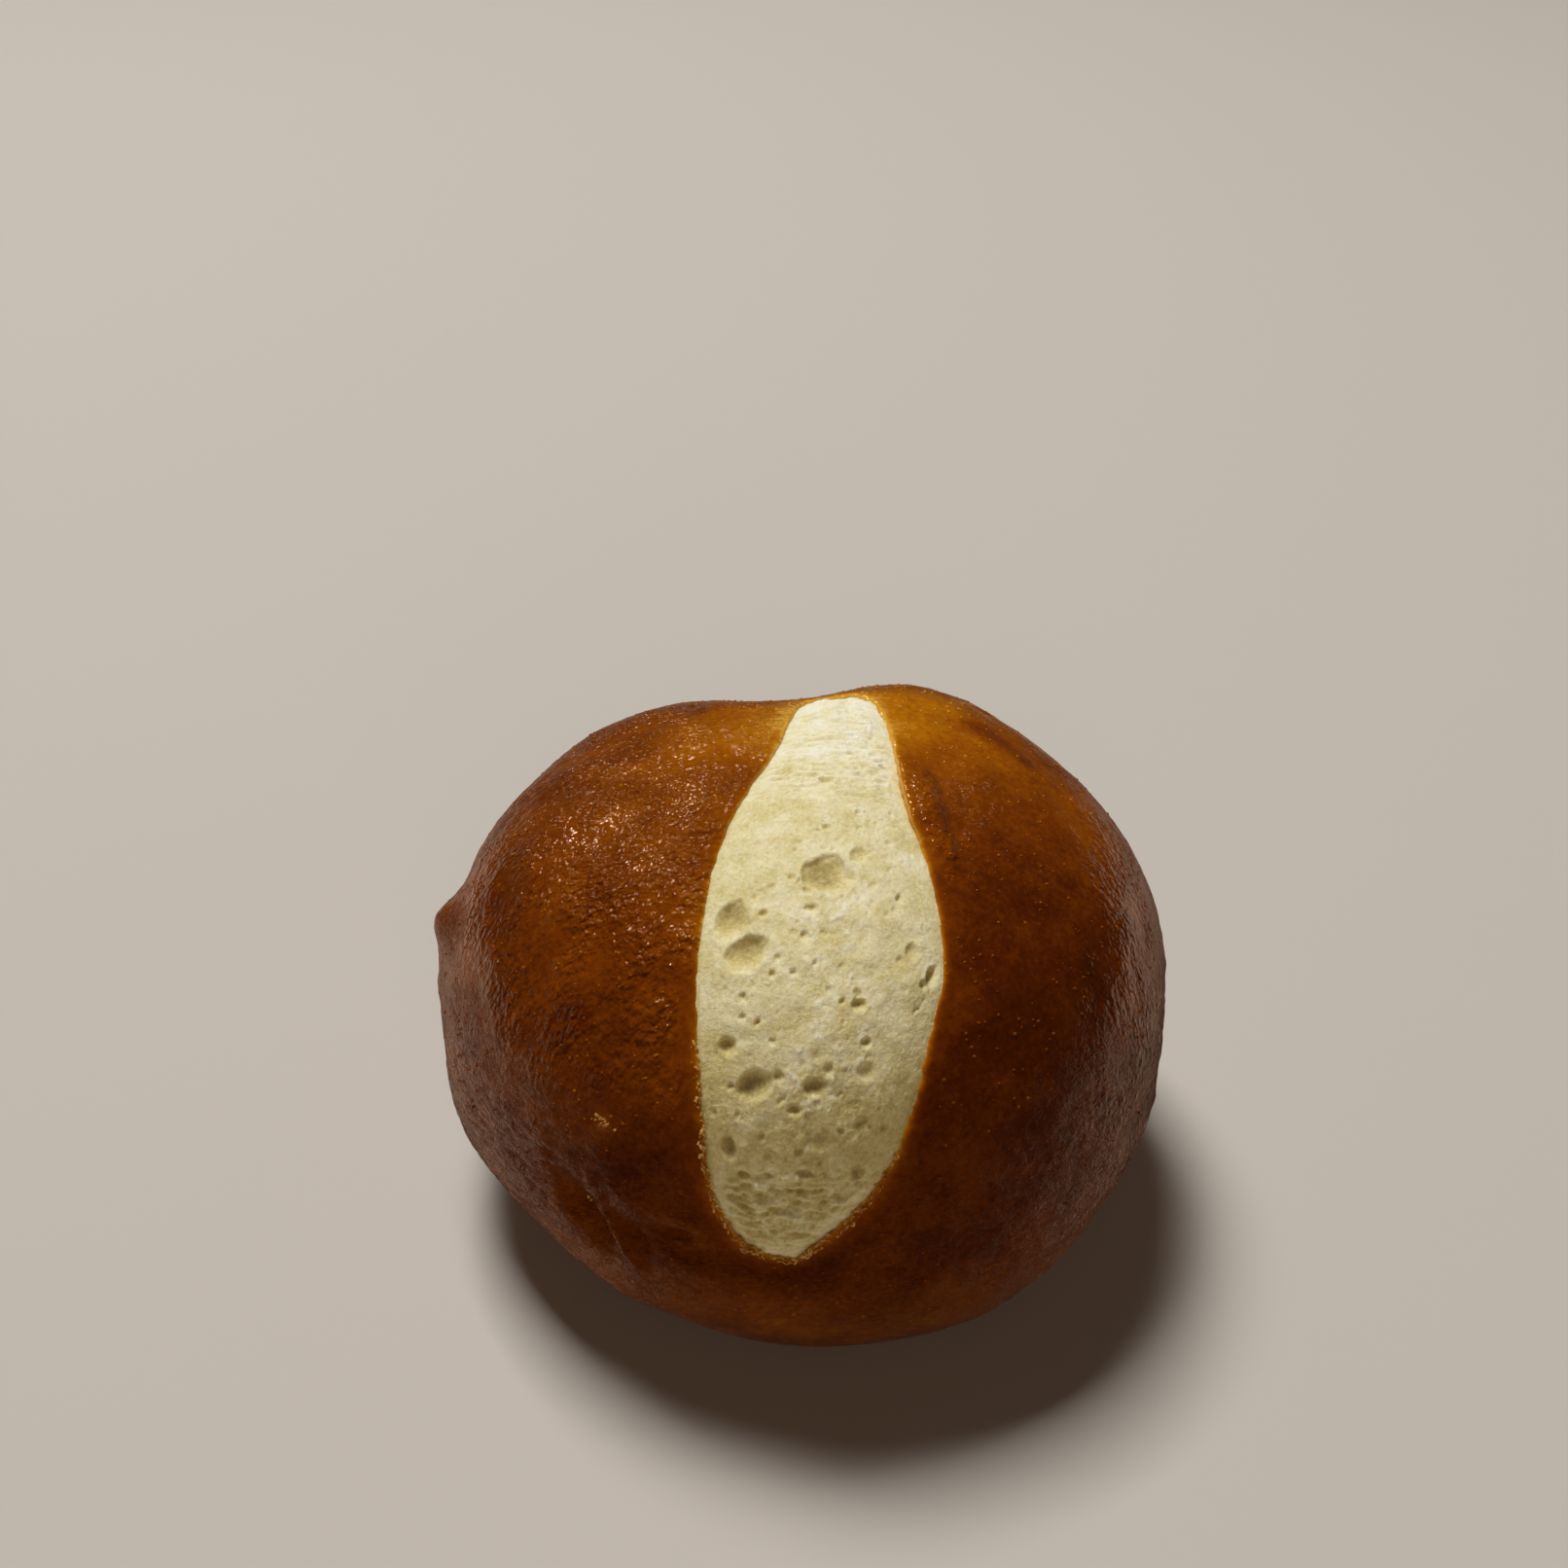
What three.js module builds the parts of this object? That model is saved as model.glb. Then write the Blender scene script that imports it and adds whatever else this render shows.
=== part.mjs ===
// A pretzel slider bun: a small domed roll whose crown has torn open along one long score.
// Millimetres, +Z up. The flat foot lies on z = 0 and the origin is in its middle. The low tip
// of the score points to the front, -Y.
//
// Every point of the bun lies on a ray from its heart, a point on the middle axis at the height
// of the waist. The form is how far the bun reaches along each ray.

import * as THREE from 'three';
import { mergeVertices } from 'three/addons/utils/BufferGeometryUtils.js';

const { degToRad, radToDeg, lerp, smoothstep } = THREE.MathUtils;

// Overall form
const BUN_WIDTH = 69.8;
const BUN_LENGTH = 67.6;
const BUN_HEIGHT = 47;
const WAIST_HEIGHT = 18.5;
const CROWN_FULLNESS = 2.5;     // exponent of the dome: 2 is an ellipsoid, more is boxier
const FOOT_FULLNESS = 1.85;
const WAIST_BLEND = 0.25;       // rise or fall of a ray between which the one becomes the other
const FOOT_DEPTH = 32.3;        // how far down the lower half would reach without a flat foot
const FOOT_ROUNDING = 4;        // blend between the flank and the flat foot

// Places where the baked dough stands proud of the even dome, or lies lower than it
const SWELLS = [
  { name: 'knob on the left flank', azimuth: 180, elevation: 16, spread: 2.6, height: 1.6 },
  { name: 'root of the knob', azimuth: 182, elevation: 8, spread: 5, height: 0.6 },
  { name: 'right shoulder', azimuth: 54, elevation: 53, spread: 9, height: 1.3 },
  { name: 'dip behind the score', azimuth: 97, elevation: 46, spread: 9, height: -2.4 },
  { name: 'left front, fallen', azimuth: -140, elevation: -20, spread: 9, height: -0.8 },
  { name: 'left front, straight above the foot', azimuth: -114, elevation: -38, spread: 7, height: -0.9 },
  { name: 'right front, full', azimuth: -55, elevation: -24, spread: 10, height: 0.7 },
  { name: 'right flank, flatter', azimuth: -15, elevation: 4, spread: 10, height: -0.4 },
  { name: 'left flank, fuller', azimuth: -160, elevation: -5, spread: 9, height: 0.5 },
  { name: 'hollow left of the front', azimuth: -124, elevation: -1.5, spread: 3, height: -1 },
];

// The crease where the crown sagged over the foot at the front: azimuth and height of its run
const CREASE_RUN = [
  [-127, 26],
  [-123.7, 22.4],
  [-119, 19.4],
  [-107, 19.2],
  [-91.5, 18.4],
  [-72, 18.6],
  [-50, 16],
];
const CREASE_DEPTH = 0.75;
const CREASE_WIDTH = 1.5;
const CREASE_RECESS = 0.55;     // how far the foot lies back just below the crease
const RECESS_REACH = 7;
const CREASE_SAMPLES = 48;
const CREASE_FADE = 0.15;       // share of the run over which each end dies out

// The score: tilt of each station from the crown, in degrees towards the back, and where its
// left and right lips lie, sideways from the middle
const SCORE_STATIONS = [
  [-88.4, -0.6, -0.6],
  [-87.3, -3.3, 0.1],
  [-83.5, -5.9, 2.1],
  [-76, -7.6, 5.7],
  [-66, -8.5, 8.6],
  [-53, -9.1, 10.6],
  [-43, -9.2, 11.8],
  [-28, -8.3, 10.8],
  [-12, -6.2, 8.5],
  [4, -3.3, 7.7],
  [18, -1.7, 6.6],
  [24, -1.0, 5.6],
  [27.4, 0.5, 4.4],
  [28, 2.4, 2.4],
];
const MM_PER_DEGREE = 0.54;     // run along the crown for each degree of tilt

// The lips stand up where the crust tore, most of all in a fold right of the upper score
const LIP_RISE = 0.25;
const LIP_REACH = 4;
const BACK_LIP_FALL = 0.8;      // the share of the rise that is missing behind the score
const BACK_LIP_TILTS = [8, 22]; // where it starts to fall off, and where it has
const FOLD = { side: 8.6, tilt: -8, spread: 8, height: 0.6 };

// The bare crumb between the lips: a step down from the crust, then a low swelling
const LIP_STEP = 0.1;
const FRONT_STEP = 0.38;
const BACK_STEP = 0.2;
const STEP_SPREAD = 7;
const CRUMB_INSET = 0.35;
const CRUMB_SWELL = 1.1;
const CRUMB_SWELL_RUN = 3.5;

// The largest open gas cells in the crumb: side, tilt, width, height along the score, depth
const CELLS = [
  [1.6, -29.0, 4.2, 3.9, 1.0],
  [-6.3, -37.0, 3.0, 3.3, 1.0],
  [-4.8, -42.0, 3.8, 2.8, 1.1],
  [9.0, -40.8, 2.4, 2.6, 0.5],
  [5.0, -58.0, 2.2, 2.2, 0.5],
  [-3.8, -59.4, 3.6, 2.7, 0.9],
  [1.5, -66.0, 2.9, 2.4, 0.6],
  [-6.1, -69.2, 2.1, 2.8, 0.8],
  [4.8, -72.0, 2.1, 2.2, 0.6],
  [-2.6, -76.0, 3.0, 2.0, 0.6],
];

// The mesh: rings of points round the score, from its middle line over the crust to the foot
const HALF_COLUMNS = 48;
const COLUMNS = 2 * HALF_COLUMNS;
const CRUMB_RINGS = 12;
const CRUST_RINGS = 36;
const FIRST_RING_SHARE = 0.6;   // spacing of the crust's rings at the lips, of their mean
const MIDDLE_LINE_SHARE = 0.88; // length of the middle line, of the score's
const FOOT_FACE_RADIUS = 20;

const CRUST_COLOUR = '#7a3d12';
const CRUST_ROUGHNESS = 0.42;

const HEART = new THREE.Vector3(0, 0, WAIST_HEIGHT);

function rayTowards(azimuth, elevation) {
  const turn = degToRad(azimuth);
  const lift = degToRad(elevation);
  return new THREE.Vector3(
    Math.cos(lift) * Math.cos(turn),
    Math.cos(lift) * Math.sin(turn),
    Math.sin(lift),
  );
}

function pointOnRay(ray, reach) {
  return ray.clone().multiplyScalar(reach).add(HEART);
}

// The even dome above the waist and the fuller bowl below it, without the flat foot
function domeReach(ray) {
  const girth = Math.hypot(ray.x / (BUN_WIDTH / 2), ray.y / (BUN_LENGTH / 2));
  const below = smoothstep(-ray.z, -WAIST_BLEND, WAIST_BLEND);
  const fullness = lerp(CROWN_FULLNESS, FOOT_FULLNESS, below);
  const extent = ray.z > 0 ? BUN_HEIGHT - WAIST_HEIGHT : FOOT_DEPTH;
  const climb = Math.abs(ray.z) / extent;
  return (girth ** fullness + climb ** fullness) ** (-1 / fullness);
}

function domePoint(ray) {
  return pointOnRay(ray, domeReach(ray));
}

function bump(distance, spread) {
  return Math.exp(-((distance / spread) ** 2));
}

const swellCentres = SWELLS.map(({ azimuth, elevation }) => domePoint(rayTowards(azimuth, elevation)));

function swellLift(point) {
  return SWELLS.reduce((lift, { spread, height }, i) => (
    lift + height * bump(point.distanceTo(swellCentres[i]), spread)
  ), 0);
}

// Near the point of the dome at this azimuth and height, found from the dome's own formula
function domePointAtHeight(azimuth, height) {
  const climb = height - WAIST_HEIGHT;
  const fullness = climb > 0 ? CROWN_FULLNESS : FOOT_FULLNESS;
  const extent = climb > 0 ? BUN_HEIGHT - WAIST_HEIGHT : FOOT_DEPTH;
  const girth = (1 - (Math.abs(climb) / extent) ** fullness) ** (1 / fullness);
  const level = rayTowards(azimuth, 0);
  const radius = girth / Math.hypot(level.x / (BUN_WIDTH / 2), level.y / (BUN_LENGTH / 2));
  return new THREE.Vector3(level.x * radius, level.y * radius, height);
}

const creaseSamples = new THREE.CatmullRomCurve3(
  CREASE_RUN.map(([azimuth, height]) => domePointAtHeight(azimuth, height)),
  false,
  'centripetal',
).getSpacedPoints(CREASE_SAMPLES);

function creaseLift(point) {
  let nearest = 0;
  creaseSamples.forEach((sample, i) => {
    if (point.distanceTo(sample) < point.distanceTo(creaseSamples[nearest])) {
      nearest = i;
    }
  });
  const along = nearest / CREASE_SAMPLES;
  const strength = smoothstep(along, 0, CREASE_FADE) * (1 - smoothstep(along, CREASE_FADE, 1));
  const distance = point.distanceTo(creaseSamples[nearest]);
  const below = smoothstep(creaseSamples[nearest].z - point.z, 0, CREASE_WIDTH);
  const groove = CREASE_DEPTH * bump(distance, CREASE_WIDTH);
  const recess = CREASE_RECESS * below * bump(distance, RECESS_REACH);
  return -strength * (groove + recess);
}

// Ends the flank in the flat foot, with a rounded edge between them
function reachToFoot(reach, ray) {
  if (ray.z >= 0) {
    return reach;
  }
  const footReach = WAIST_HEIGHT / -ray.z;
  const overlap = Math.max(FOOT_ROUNDING - Math.abs(reach - footReach), 0) / FOOT_ROUNDING;
  return Math.min(reach, footReach) - (overlap ** 2 * FOOT_ROUNDING) / 4;
}

// A place on the crown, given sideways from the middle and by its tilt from the top
function crownRay(side, tilt) {
  const middle = rayTowards(90, 90 - tilt);
  return middle.multiplyScalar(domeReach(middle)).setX(side).normalize();
}

// One lip of the score, from the front tip to the back, as evenly spaced sides and tilts
function lipRun(sideOf) {
  const stations = SCORE_STATIONS.map((station) => (
    new THREE.Vector3(sideOf(station), station[0] * MM_PER_DEGREE, 0)
  ));
  const curve = new THREE.CatmullRomCurve3(stations, false, 'centripetal');
  return curve.getSpacedPoints(HALF_COLUMNS).map(({ x, y }) => ({ side: x, tilt: y / MM_PER_DEGREE }));
}

const leftLip = lipRun((station) => station[1]);
const rightLip = lipRun((station) => station[2]);
const lipLoop = [...leftLip, ...rightLip.slice(1, -1).reverse()];
const lipRays = lipLoop.map(({ side, tilt }) => crownRay(side, tilt));
const lipPoints = lipRays.map(domePoint);
const lipEdges = lipPoints.map((start, i) => new THREE.Line3(start, lipPoints[(i + 1) % COLUMNS]));
const frontTip = lipPoints[0];
const backTip = lipPoints[HALF_COLUMNS];
const foldPoint = domePoint(crownRay(FOLD.side, FOLD.tilt));

function distanceToLip(point) {
  const foot = new THREE.Vector3();
  const distances = lipEdges.map((edge) => (
    edge.closestPointToPoint(point, true, foot).distanceTo(point)
  ));
  return Math.min(...distances);
}

function tiltOf(point) {
  return radToDeg(Math.atan2(point.y, point.z - WAIST_HEIGHT));
}

function crustLift(point) {
  const fold = FOLD.height * bump(point.distanceTo(foldPoint), FOLD.spread);
  const lowBack = 1 - BACK_LIP_FALL * smoothstep(tiltOf(point), ...BACK_LIP_TILTS);
  return (LIP_RISE * lowBack + fold) * Math.exp(-distanceToLip(point) / LIP_REACH);
}

function cellDepth(point) {
  const tilt = tiltOf(point);
  const depths = CELLS.map(([cellSide, cellTilt, width, height, depth]) => {
    const across = (point.x - cellSide) / (width / 2);
    const along = ((tilt - cellTilt) * MM_PER_DEGREE) / (height / 2);
    return depth * Math.max(1 - across ** 2 - along ** 2, 0);
  });
  return Math.max(...depths);
}

function crumbLift(point) {
  const step = LIP_STEP
    + FRONT_STEP * bump(point.distanceTo(frontTip), STEP_SPREAD)
    + BACK_STEP * bump(point.distanceTo(backTip), STEP_SPREAD);
  const swelling = CRUMB_SWELL * (1 - Math.exp(-distanceToLip(point) / CRUMB_SWELL_RUN));
  return swelling - step - cellDepth(point);
}

function bunPoint(ray, scoreLift) {
  const even = domePoint(ray);
  const reach = domeReach(ray) + swellLift(even) + creaseLift(even) + scoreLift(even);
  return pointOnRay(ray, reachToFoot(reach, ray));
}

// A flat chart of all rays: straight up is its middle, and the distance from there is the
// angle from straight up, in degrees
function chartOf(ray) {
  const turn = Math.atan2(ray.y, ray.x);
  const angle = radToDeg(Math.acos(ray.z));
  return new THREE.Vector2(Math.cos(turn), Math.sin(turn)).multiplyScalar(angle);
}

function rayOf(chart) {
  return rayTowards(radToDeg(chart.angle()), 90 - chart.length());
}

// The middle line of the score, a little shorter than it: the columns that face each other
// across the score meet in one point of this line
function middleLineChart(column) {
  const k = Math.min(column, COLUMNS - column);
  const middleTilt = (SCORE_STATIONS[0][0] + SCORE_STATIONS.at(-1)[0]) / 2;
  const side = (leftLip[k].side + rightLip[k].side) / 2;
  const tilt = (leftLip[k].tilt + rightLip[k].tilt) / 2;
  return chartOf(crownRay(side, lerp(middleTilt, tilt, MIDDLE_LINE_SHARE)));
}

function footFaceChart(column) {
  const turn = degToRad(-90 - (360 * column) / COLUMNS);
  const angle = 180 - radToDeg(Math.atan(FOOT_FACE_RADIUS / WAIST_HEIGHT));
  return new THREE.Vector2(Math.cos(turn), Math.sin(turn)).multiplyScalar(angle);
}

const lipCharts = lipRays.map(chartOf);
const middleCharts = lipCharts.map((_, column) => middleLineChart(column));
const footCharts = lipCharts.map((_, column) => footFaceChart(column));

function crumbRing(share) {
  return lipCharts.map((lip, column) => {
    const middle = middleCharts[column];
    const inset = CRUMB_INSET / (MM_PER_DEGREE * lip.distanceTo(middle));
    return bunPoint(rayOf(middle.clone().lerp(lip, share * (1 - inset))), crumbLift);
  });
}

function crustRing(step) {
  const share = step * lerp(FIRST_RING_SHARE, 1, step);
  return lipCharts.map((lip, column) => (
    bunPoint(rayOf(lip.clone().lerp(footCharts[column], share)), crustLift)
  ));
}

function evenSteps(count) {
  return Array.from({ length: count + 1 }, (_, i) => i / count);
}

// Quads between neighbouring rings, each as two triangles that face out
function ringFaces(ringCount) {
  const faces = [];
  for (let ring = 0; ring < ringCount - 1; ring += 1) {
    for (let column = 0; column < COLUMNS; column += 1) {
      const next = (column + 1) % COLUMNS;
      const inner = ring * COLUMNS;
      const outer = inner + COLUMNS;
      faces.push(inner + column, inner + next, outer + next);
      faces.push(inner + column, outer + next, outer + column);
    }
  }
  return faces;
}

// The flat face under the foot, which spans the last ring
function footFaces(ring, firstIndex) {
  const outline = ring.map(({ x, y }) => new THREE.Vector2(x, y));
  const triangles = THREE.ShapeUtils.triangulateShape(outline, []);
  return triangles.flatMap(([a, b, c]) => [firstIndex + a, firstIndex + c, firstIndex + b]);
}

function bunGeometry() {
  const rings = [...evenSteps(CRUMB_RINGS).map(crumbRing), ...evenSteps(CRUST_RINGS).map(crustRing)];
  const lastRing = rings.at(-1);
  const points = rings.flat();
  const geometry = new THREE.BufferGeometry().setFromPoints(points);
  geometry.setIndex([
    ...ringFaces(rings.length),
    ...footFaces(lastRing, points.length - COLUMNS),
  ]);
  return mergeVertices(geometry);
}

// Puts the origin under the middle of the bun's own width and length
function centreOnFoot(geometry) {
  geometry.computeBoundingBox();
  const middle = geometry.boundingBox.getCenter(new THREE.Vector3());
  return geometry.translate(-middle.x, -middle.y, 0);
}

function bun() {
  const geometry = centreOnFoot(bunGeometry());
  geometry.computeVertexNormals();
  const material = new THREE.MeshStandardMaterial({
    color: CRUST_COLOUR,
    roughness: CRUST_ROUGHNESS,
    metalness: 0,
  });
  const mesh = new THREE.Mesh(geometry, material);
  mesh.name = 'bun';
  return mesh;
}

const group = new THREE.Group();
group.add(bun());

export default group;
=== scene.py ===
import math
import random

import bmesh
import bpy
import numpy as np
from mathutils import Matrix, Vector, noise


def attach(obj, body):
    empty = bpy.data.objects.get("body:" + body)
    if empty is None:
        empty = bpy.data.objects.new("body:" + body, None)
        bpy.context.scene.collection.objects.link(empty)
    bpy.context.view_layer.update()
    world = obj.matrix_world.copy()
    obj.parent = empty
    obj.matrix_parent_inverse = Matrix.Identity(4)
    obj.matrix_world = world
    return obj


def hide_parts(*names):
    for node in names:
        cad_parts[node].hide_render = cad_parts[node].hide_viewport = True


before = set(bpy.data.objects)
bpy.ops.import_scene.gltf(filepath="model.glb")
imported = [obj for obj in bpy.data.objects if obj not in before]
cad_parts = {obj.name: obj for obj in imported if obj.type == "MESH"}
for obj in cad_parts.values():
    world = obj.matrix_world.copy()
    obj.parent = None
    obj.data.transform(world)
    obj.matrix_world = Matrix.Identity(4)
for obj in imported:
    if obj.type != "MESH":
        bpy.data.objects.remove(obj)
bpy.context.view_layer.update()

# A pretzel slider bun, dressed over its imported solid. The shape is worked out in millimetres in
# the bun's own frame: +Z up, foot on z = 0, low tip of the score towards -Y. Every point of the
# bun lies on a ray from its heart, on the middle axis at the height of the waist.
MM = 0.001

# Overall form, as in the solid
BUN_WIDTH = 69.8
BUN_LENGTH = 67.6
BUN_HEIGHT = 47.0
WAIST_HEIGHT = 18.5
CROWN_FULLNESS = 2.5
FOOT_FULLNESS = 1.85
WAIST_BLEND = 0.25              # rise and fall of a ray between which one becomes the other
FOOT_DEPTH = 32.3
FOOT_ROUNDING = 4.0
HEART = np.array([0.0, 0.0, WAIST_HEIGHT])

# Places where the dough stands proud or lies low: azimuth, elevation, spread, height
SWELLS = (
    (180, 16, 2.6, 1.6),      # knob on the left flank
    (182, 8, 5, 0.6),         # root of the knob
    (54, 53, 9, 1.3),         # right shoulder
    (97, 46, 9, -2.4),        # dip behind the score
    (-140, -20, 9, -0.8),     # left front, fallen
    (-114, -38, 7, -0.9),     # left front, straight above the foot
    (-55, -24, 10, 0.7),      # right front, full
    (-15, 4, 10, -0.4),       # right flank, flatter
    (-160, -5, 9, 0.5),       # left flank, fuller
)

# The crease above the foot: azimuth and height of its run
CREASE_RUN = (
    (-127, 26), (-123.7, 22.4), (-119, 19.4), (-107, 19.2), (-91.5, 18.4), (-72, 18.6), (-50, 16),
)
CREASE_DEPTH = 0.75
CREASE_WIDTH = 1.5
CREASE_RECESS = 0.55
RECESS_REACH = 7.0
CREASE_FADE = 0.15
CREASE_POINTS = 160
CURVE_STEPS = 60                # between two knots of a curve, before it is spaced evenly

# The skin's unevenness: size of the lumps, octaves, height
UNEVENNESS = (
    (9.0, 2, 0.22),
    (3.4, 2, 0.12),
    (1.4, 3, 0.06),
)
UNEVEN_FROM = (0.5, 5)          # heights over which it sets in above the foot

# Level wrinkles of the lower flank: where they set in, downwards and away from the lips
WRINKLE_FALL = (-36, -24)
WRINKLE_GAPS = (0.5, 2.5)
WRINKLE_SPACING = 1.7
WRINKLE_HEIGHT = 0.09
WRINKLE_SQUASH = (1, 1, 2)

# Short folds of the skin left of the front: from and to (azimuth, elevation), width, height
FOLDS = (
    (-127.5, 4, -120, -7, 1.7, -1.8),     # groove with a pale torn bottom
    (-124.5, 9, -116.2, -7, 1.4, 0.6),    # low ridge along its right side
    (-118.5, 2, -114.5, -5, 1.2, -1.2),   # shallow hollow beyond the ridge
    (-113, 2, -102.5, 3.5, 0.7, -0.9),    # short groove under the score
    (-111, -4, -97, -3, 2.2, 0.35),       # low roll beneath it
)
FOLD_WAVER = 0.5                # how far they swerve from straight, and over what distance
FOLD_WAVER_SIZE = 2.5
FOLD_END_SHARE = 0.3            # of their height that is left at their ends

# The score: tilt from the crown in degrees, and where its left and right lips lie
SCORE_STATIONS = (
    (-88.4, -0.6, -0.6),
    (-87.3, -3.3, 0.1),
    (-83.5, -5.9, 2.1),
    (-76, -7.6, 5.7),
    (-66, -8.5, 8.6),
    (-53, -9.1, 10.6),
    (-43, -9.2, 11.8),
    (-28, -8.3, 10.8),
    (-12, -6.2, 8.5),
    (4, -3.3, 7.7),
    (18, -1.7, 6.6),
    (24, -1.0, 5.6),
    (27.4, 0.5, 4.4),
    (28, 2.4, 2.4),
)
MM_PER_DEGREE = 0.54
LIP_WANDER = 0.16               # how far the torn lips wander from their even run
LIP_WANDER_SIZE = 2.6
LIP_FRAY = 0.05                 # ragged teeth of the torn crust
LIP_FRAY_TIPS = 0.16            # and larger ones near the tips
LIP_FRAY_SIZE = 0.8             # drawn as coarse as they have to be to show
FRONT_FRAY_RUN = (22, 34)       # millimetres from the crown, forwards and back, where those set in
BACK_FRAY_RUN = (12, 14)
BACK_FRAY = 3                   # times as large at the back
LIPS_APART = 9.0                # a step in space, so that the two lips don't wander alike
FREE_FROM = (0, 0.04)           # shares of a lip's run over which it is let go of at the front tip
FREE_TO = (-1, -0.99)           # and, counted backwards, at the back one

# The lips stand up where the crust tore, most of all in a fold right of the upper score
LIP_RISE = 0.25
LIP_REACH = 4.0
BACK_LIP_FALL = 0.8             # the share of it that is missing behind the score
BACK_LIP_TILTS = (8, 22)
LIP_FOLD_SIDE = 8.6
LIP_FOLD_TILT = -8.0
LIP_FOLD_SPREAD = 8.0
LIP_FOLD_HEIGHT = 0.6
RIDGE_OFFSET = 2.0              # a narrow rough ridge in that fold, beside the lip
RIDGE_WIDTH = 1.0
RIDGE_HEIGHT = 0.55
RIDGE_LUMPS = 0.22
RIDGE_LUMP_SIZE = 1.2
RIDGE_FROM = (-27, -18)         # tilts over which it sets in, and dies away, tilts negated
RIDGE_TO = (-2, 8)
RIDGE_LEAST_SIDE = 2
LIP_EDGE = 0.45                 # rounding of the lip's edge
LIP_EDGE_DROP = 0.3

# The crumb between the lips: a step down from the crust, then a low swelling
LIP_STEP = 0.1
FRONT_STEP = 0.38
BACK_STEP = 0.2
STEP_SPREAD = 7.0
CRUMB_SWELL = 1.1
CRUMB_SWELL_RUN = 3.5
CRUMB_TUCK = 0.35               # how far the crumb runs in under the lips

# Open gas cells that show as single hollows: side, tilt, length, breadth, turn, depth
CELLS = (
    (1.6, -29, 4.2, 3.9, 0, 1.2),
    (-6.3, -37, 3.8, 3.2, 55, 1.1),
    (-4.8, -42, 4.0, 3.0, 25, 1.2),
    (4.2, -25, 1.8, 1.5, 70, 0.5),
    (10.9, -44.5, 2.0, 1.6, 70, 1.8),
    (4.2, -49, 1.5, 1.1, 0, 0.8),
    (-6.3, -55, 1.8, 1.6, 0, 0.8),
    (-4.1, -60, 3.0, 2.2, 30, 1.0),
    (0.8, -60, 2.2, 1.5, 0, 0.8),
    (-0.7, -63, 1.5, 0.9, 0, 0.7),
    (4.9, -58, 1.7, 1.4, 0, 0.4),
    (1.4, -67, 2.4, 1.8, 10, 0.5),
    (4.6, -65, 1.4, 1.2, 0, 0.4),
    (-6.1, -69, 2.2, 1.3, 105, 0.9),
    (4.5, -72, 1.5, 1.2, 60, 0.7),
    (-2.9, -76, 2.2, 1.1, -15, 0.5),
    (0.1, -72, 1.7, 0.8, -5, 0.5),
    (1.5, -79, 1.2, 0.9, 0, 0.5),
    (8.7, -41, 1.7, 1.5, 80, 0.4),
    (1.4, -7, 1.6, 1.1, -10, 0.7),
    (0.3, -35, 1.5, 1.0, 0, 0.5),
    (4.9, -54, 1.0, 0.8, 0, 0.6),
)
CELL_WOBBLE = 0.2               # how uneven their outlines are
CELL_LEAN = 0.8                 # how much steeper they are at the upper left than in the middle
CELL_RIM = 0.035                # height of their thin rims, of their depth
CELL_RIM_PLACE = 1.12           # place and width of the rims, of the cell's radius
CELL_RIM_WIDTH = 0.16

# Small gas cells between them
PORE_COUNT = 500
PORE_SEED = 11
PORE_TILTS = (-84, -14)
PORE_RADIUS = (0.1, 0.48)
PORE_BREADTH = (0.6, 1.0)       # of the length
PORE_DEPTH = (0.15, 0.6)
PORE_TURN = (-40, 60)
PORE_GATHERING = 1.6            # how much they keep to the middle
LAYERED_TILT = -70              # beyond this the crumb tore into level layers with long pores
LAYERED_STRETCH = 1.8
LAYERED_DEEPENING = 1.7

# The torn face: soft lumps, a fine grit, shreds down its middle and level layers at both ends
TORN_GAPS = (0.2, 2.0)          # gaps to the lips over which its relief sets in
LUMP_SIZE = 2.4
LUMP_HEIGHT = 0.16
GRIT_SIZE = 0.5                 # drawn as coarse as it has to be to show
GRIT_HEIGHT = 0.03
TORN_GRIT_HEIGHT = 0.07
TORN_SIZE = 1.8
TORN_NOISE = (0.3, 1.0)         # noise over which the crumb goes from whole to torn
TORN_IN_MIDDLE = 0.5            # what is added to that noise down the middle
SHRED_SIZE = 0.8
SHRED_NOISE = (0.34, 0.55)      # and from plain to shredded
SHRED_HEIGHT = 0.08
SHRED_SIDE = 1.5
SHRED_SPREAD = 3.5
SHRED_FROM = (-82, -70)         # tilts over which they set in, and die away, tilts negated
SHRED_TO = (22, 36)
LAYER_LENGTH = 1.5
LAYER_SPACING = 0.55
LAYER_WAVER = 0.3
LAYER_HEIGHT = 0.28
LOW_LAYER_HEIGHT = 0.2          # what is added to it at the low tip
UPPER_LAYERS = (-16, -4)        # tilts over which the layers set in, at the low tip negated
LOW_LAYERS = (68, 78)
DEEP_LAYERS = (66, 74)
ELSEWHERE = 40                  # a step in space that makes one noise look like another

# How dark the crumb is painted, and what makes it more or less so: its own tan, with painted shade and
# painted highlight marked below; tilts are negated
CRUMB_TAN = 0.24
# Painted shade: darker from the top towards the front, and darker again low in front, where less light
# falls
FRONT_PAINTED_SHADE = 0.22
FRONT_SHADE_TILTS = (-12, 20)
LOW_PAINTED_SHADE = 0.16
LOW_SHADE_TILTS = (50, 66)
TIP_PALER = 0.08
TIP_TILTS = (70, 82)
# Painted shade inside the gas cells
CELL_PAINTED_SHADE = 0.45                 # to the millimetre of a cell's depth
# A darker line along the lips: partly the crumb's own yellowing beside the crust, partly painted shade
# under the lips
NEAR_LIP_TAN_AND_SHADE = 0.2
NEAR_LIP_TAN_AND_SHADE_REACH = 0.2
TORN_CRUMB_PALER = 0.12
# Painted highlight on the raised shreds, and painted light on the tops of the layers with painted
# shade in their grooves
SHRED_PAINTED_HIGHLIGHT = 0.22
LAYER_PAINTED_LIGHT_AND_SHADE = 0.2

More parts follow.
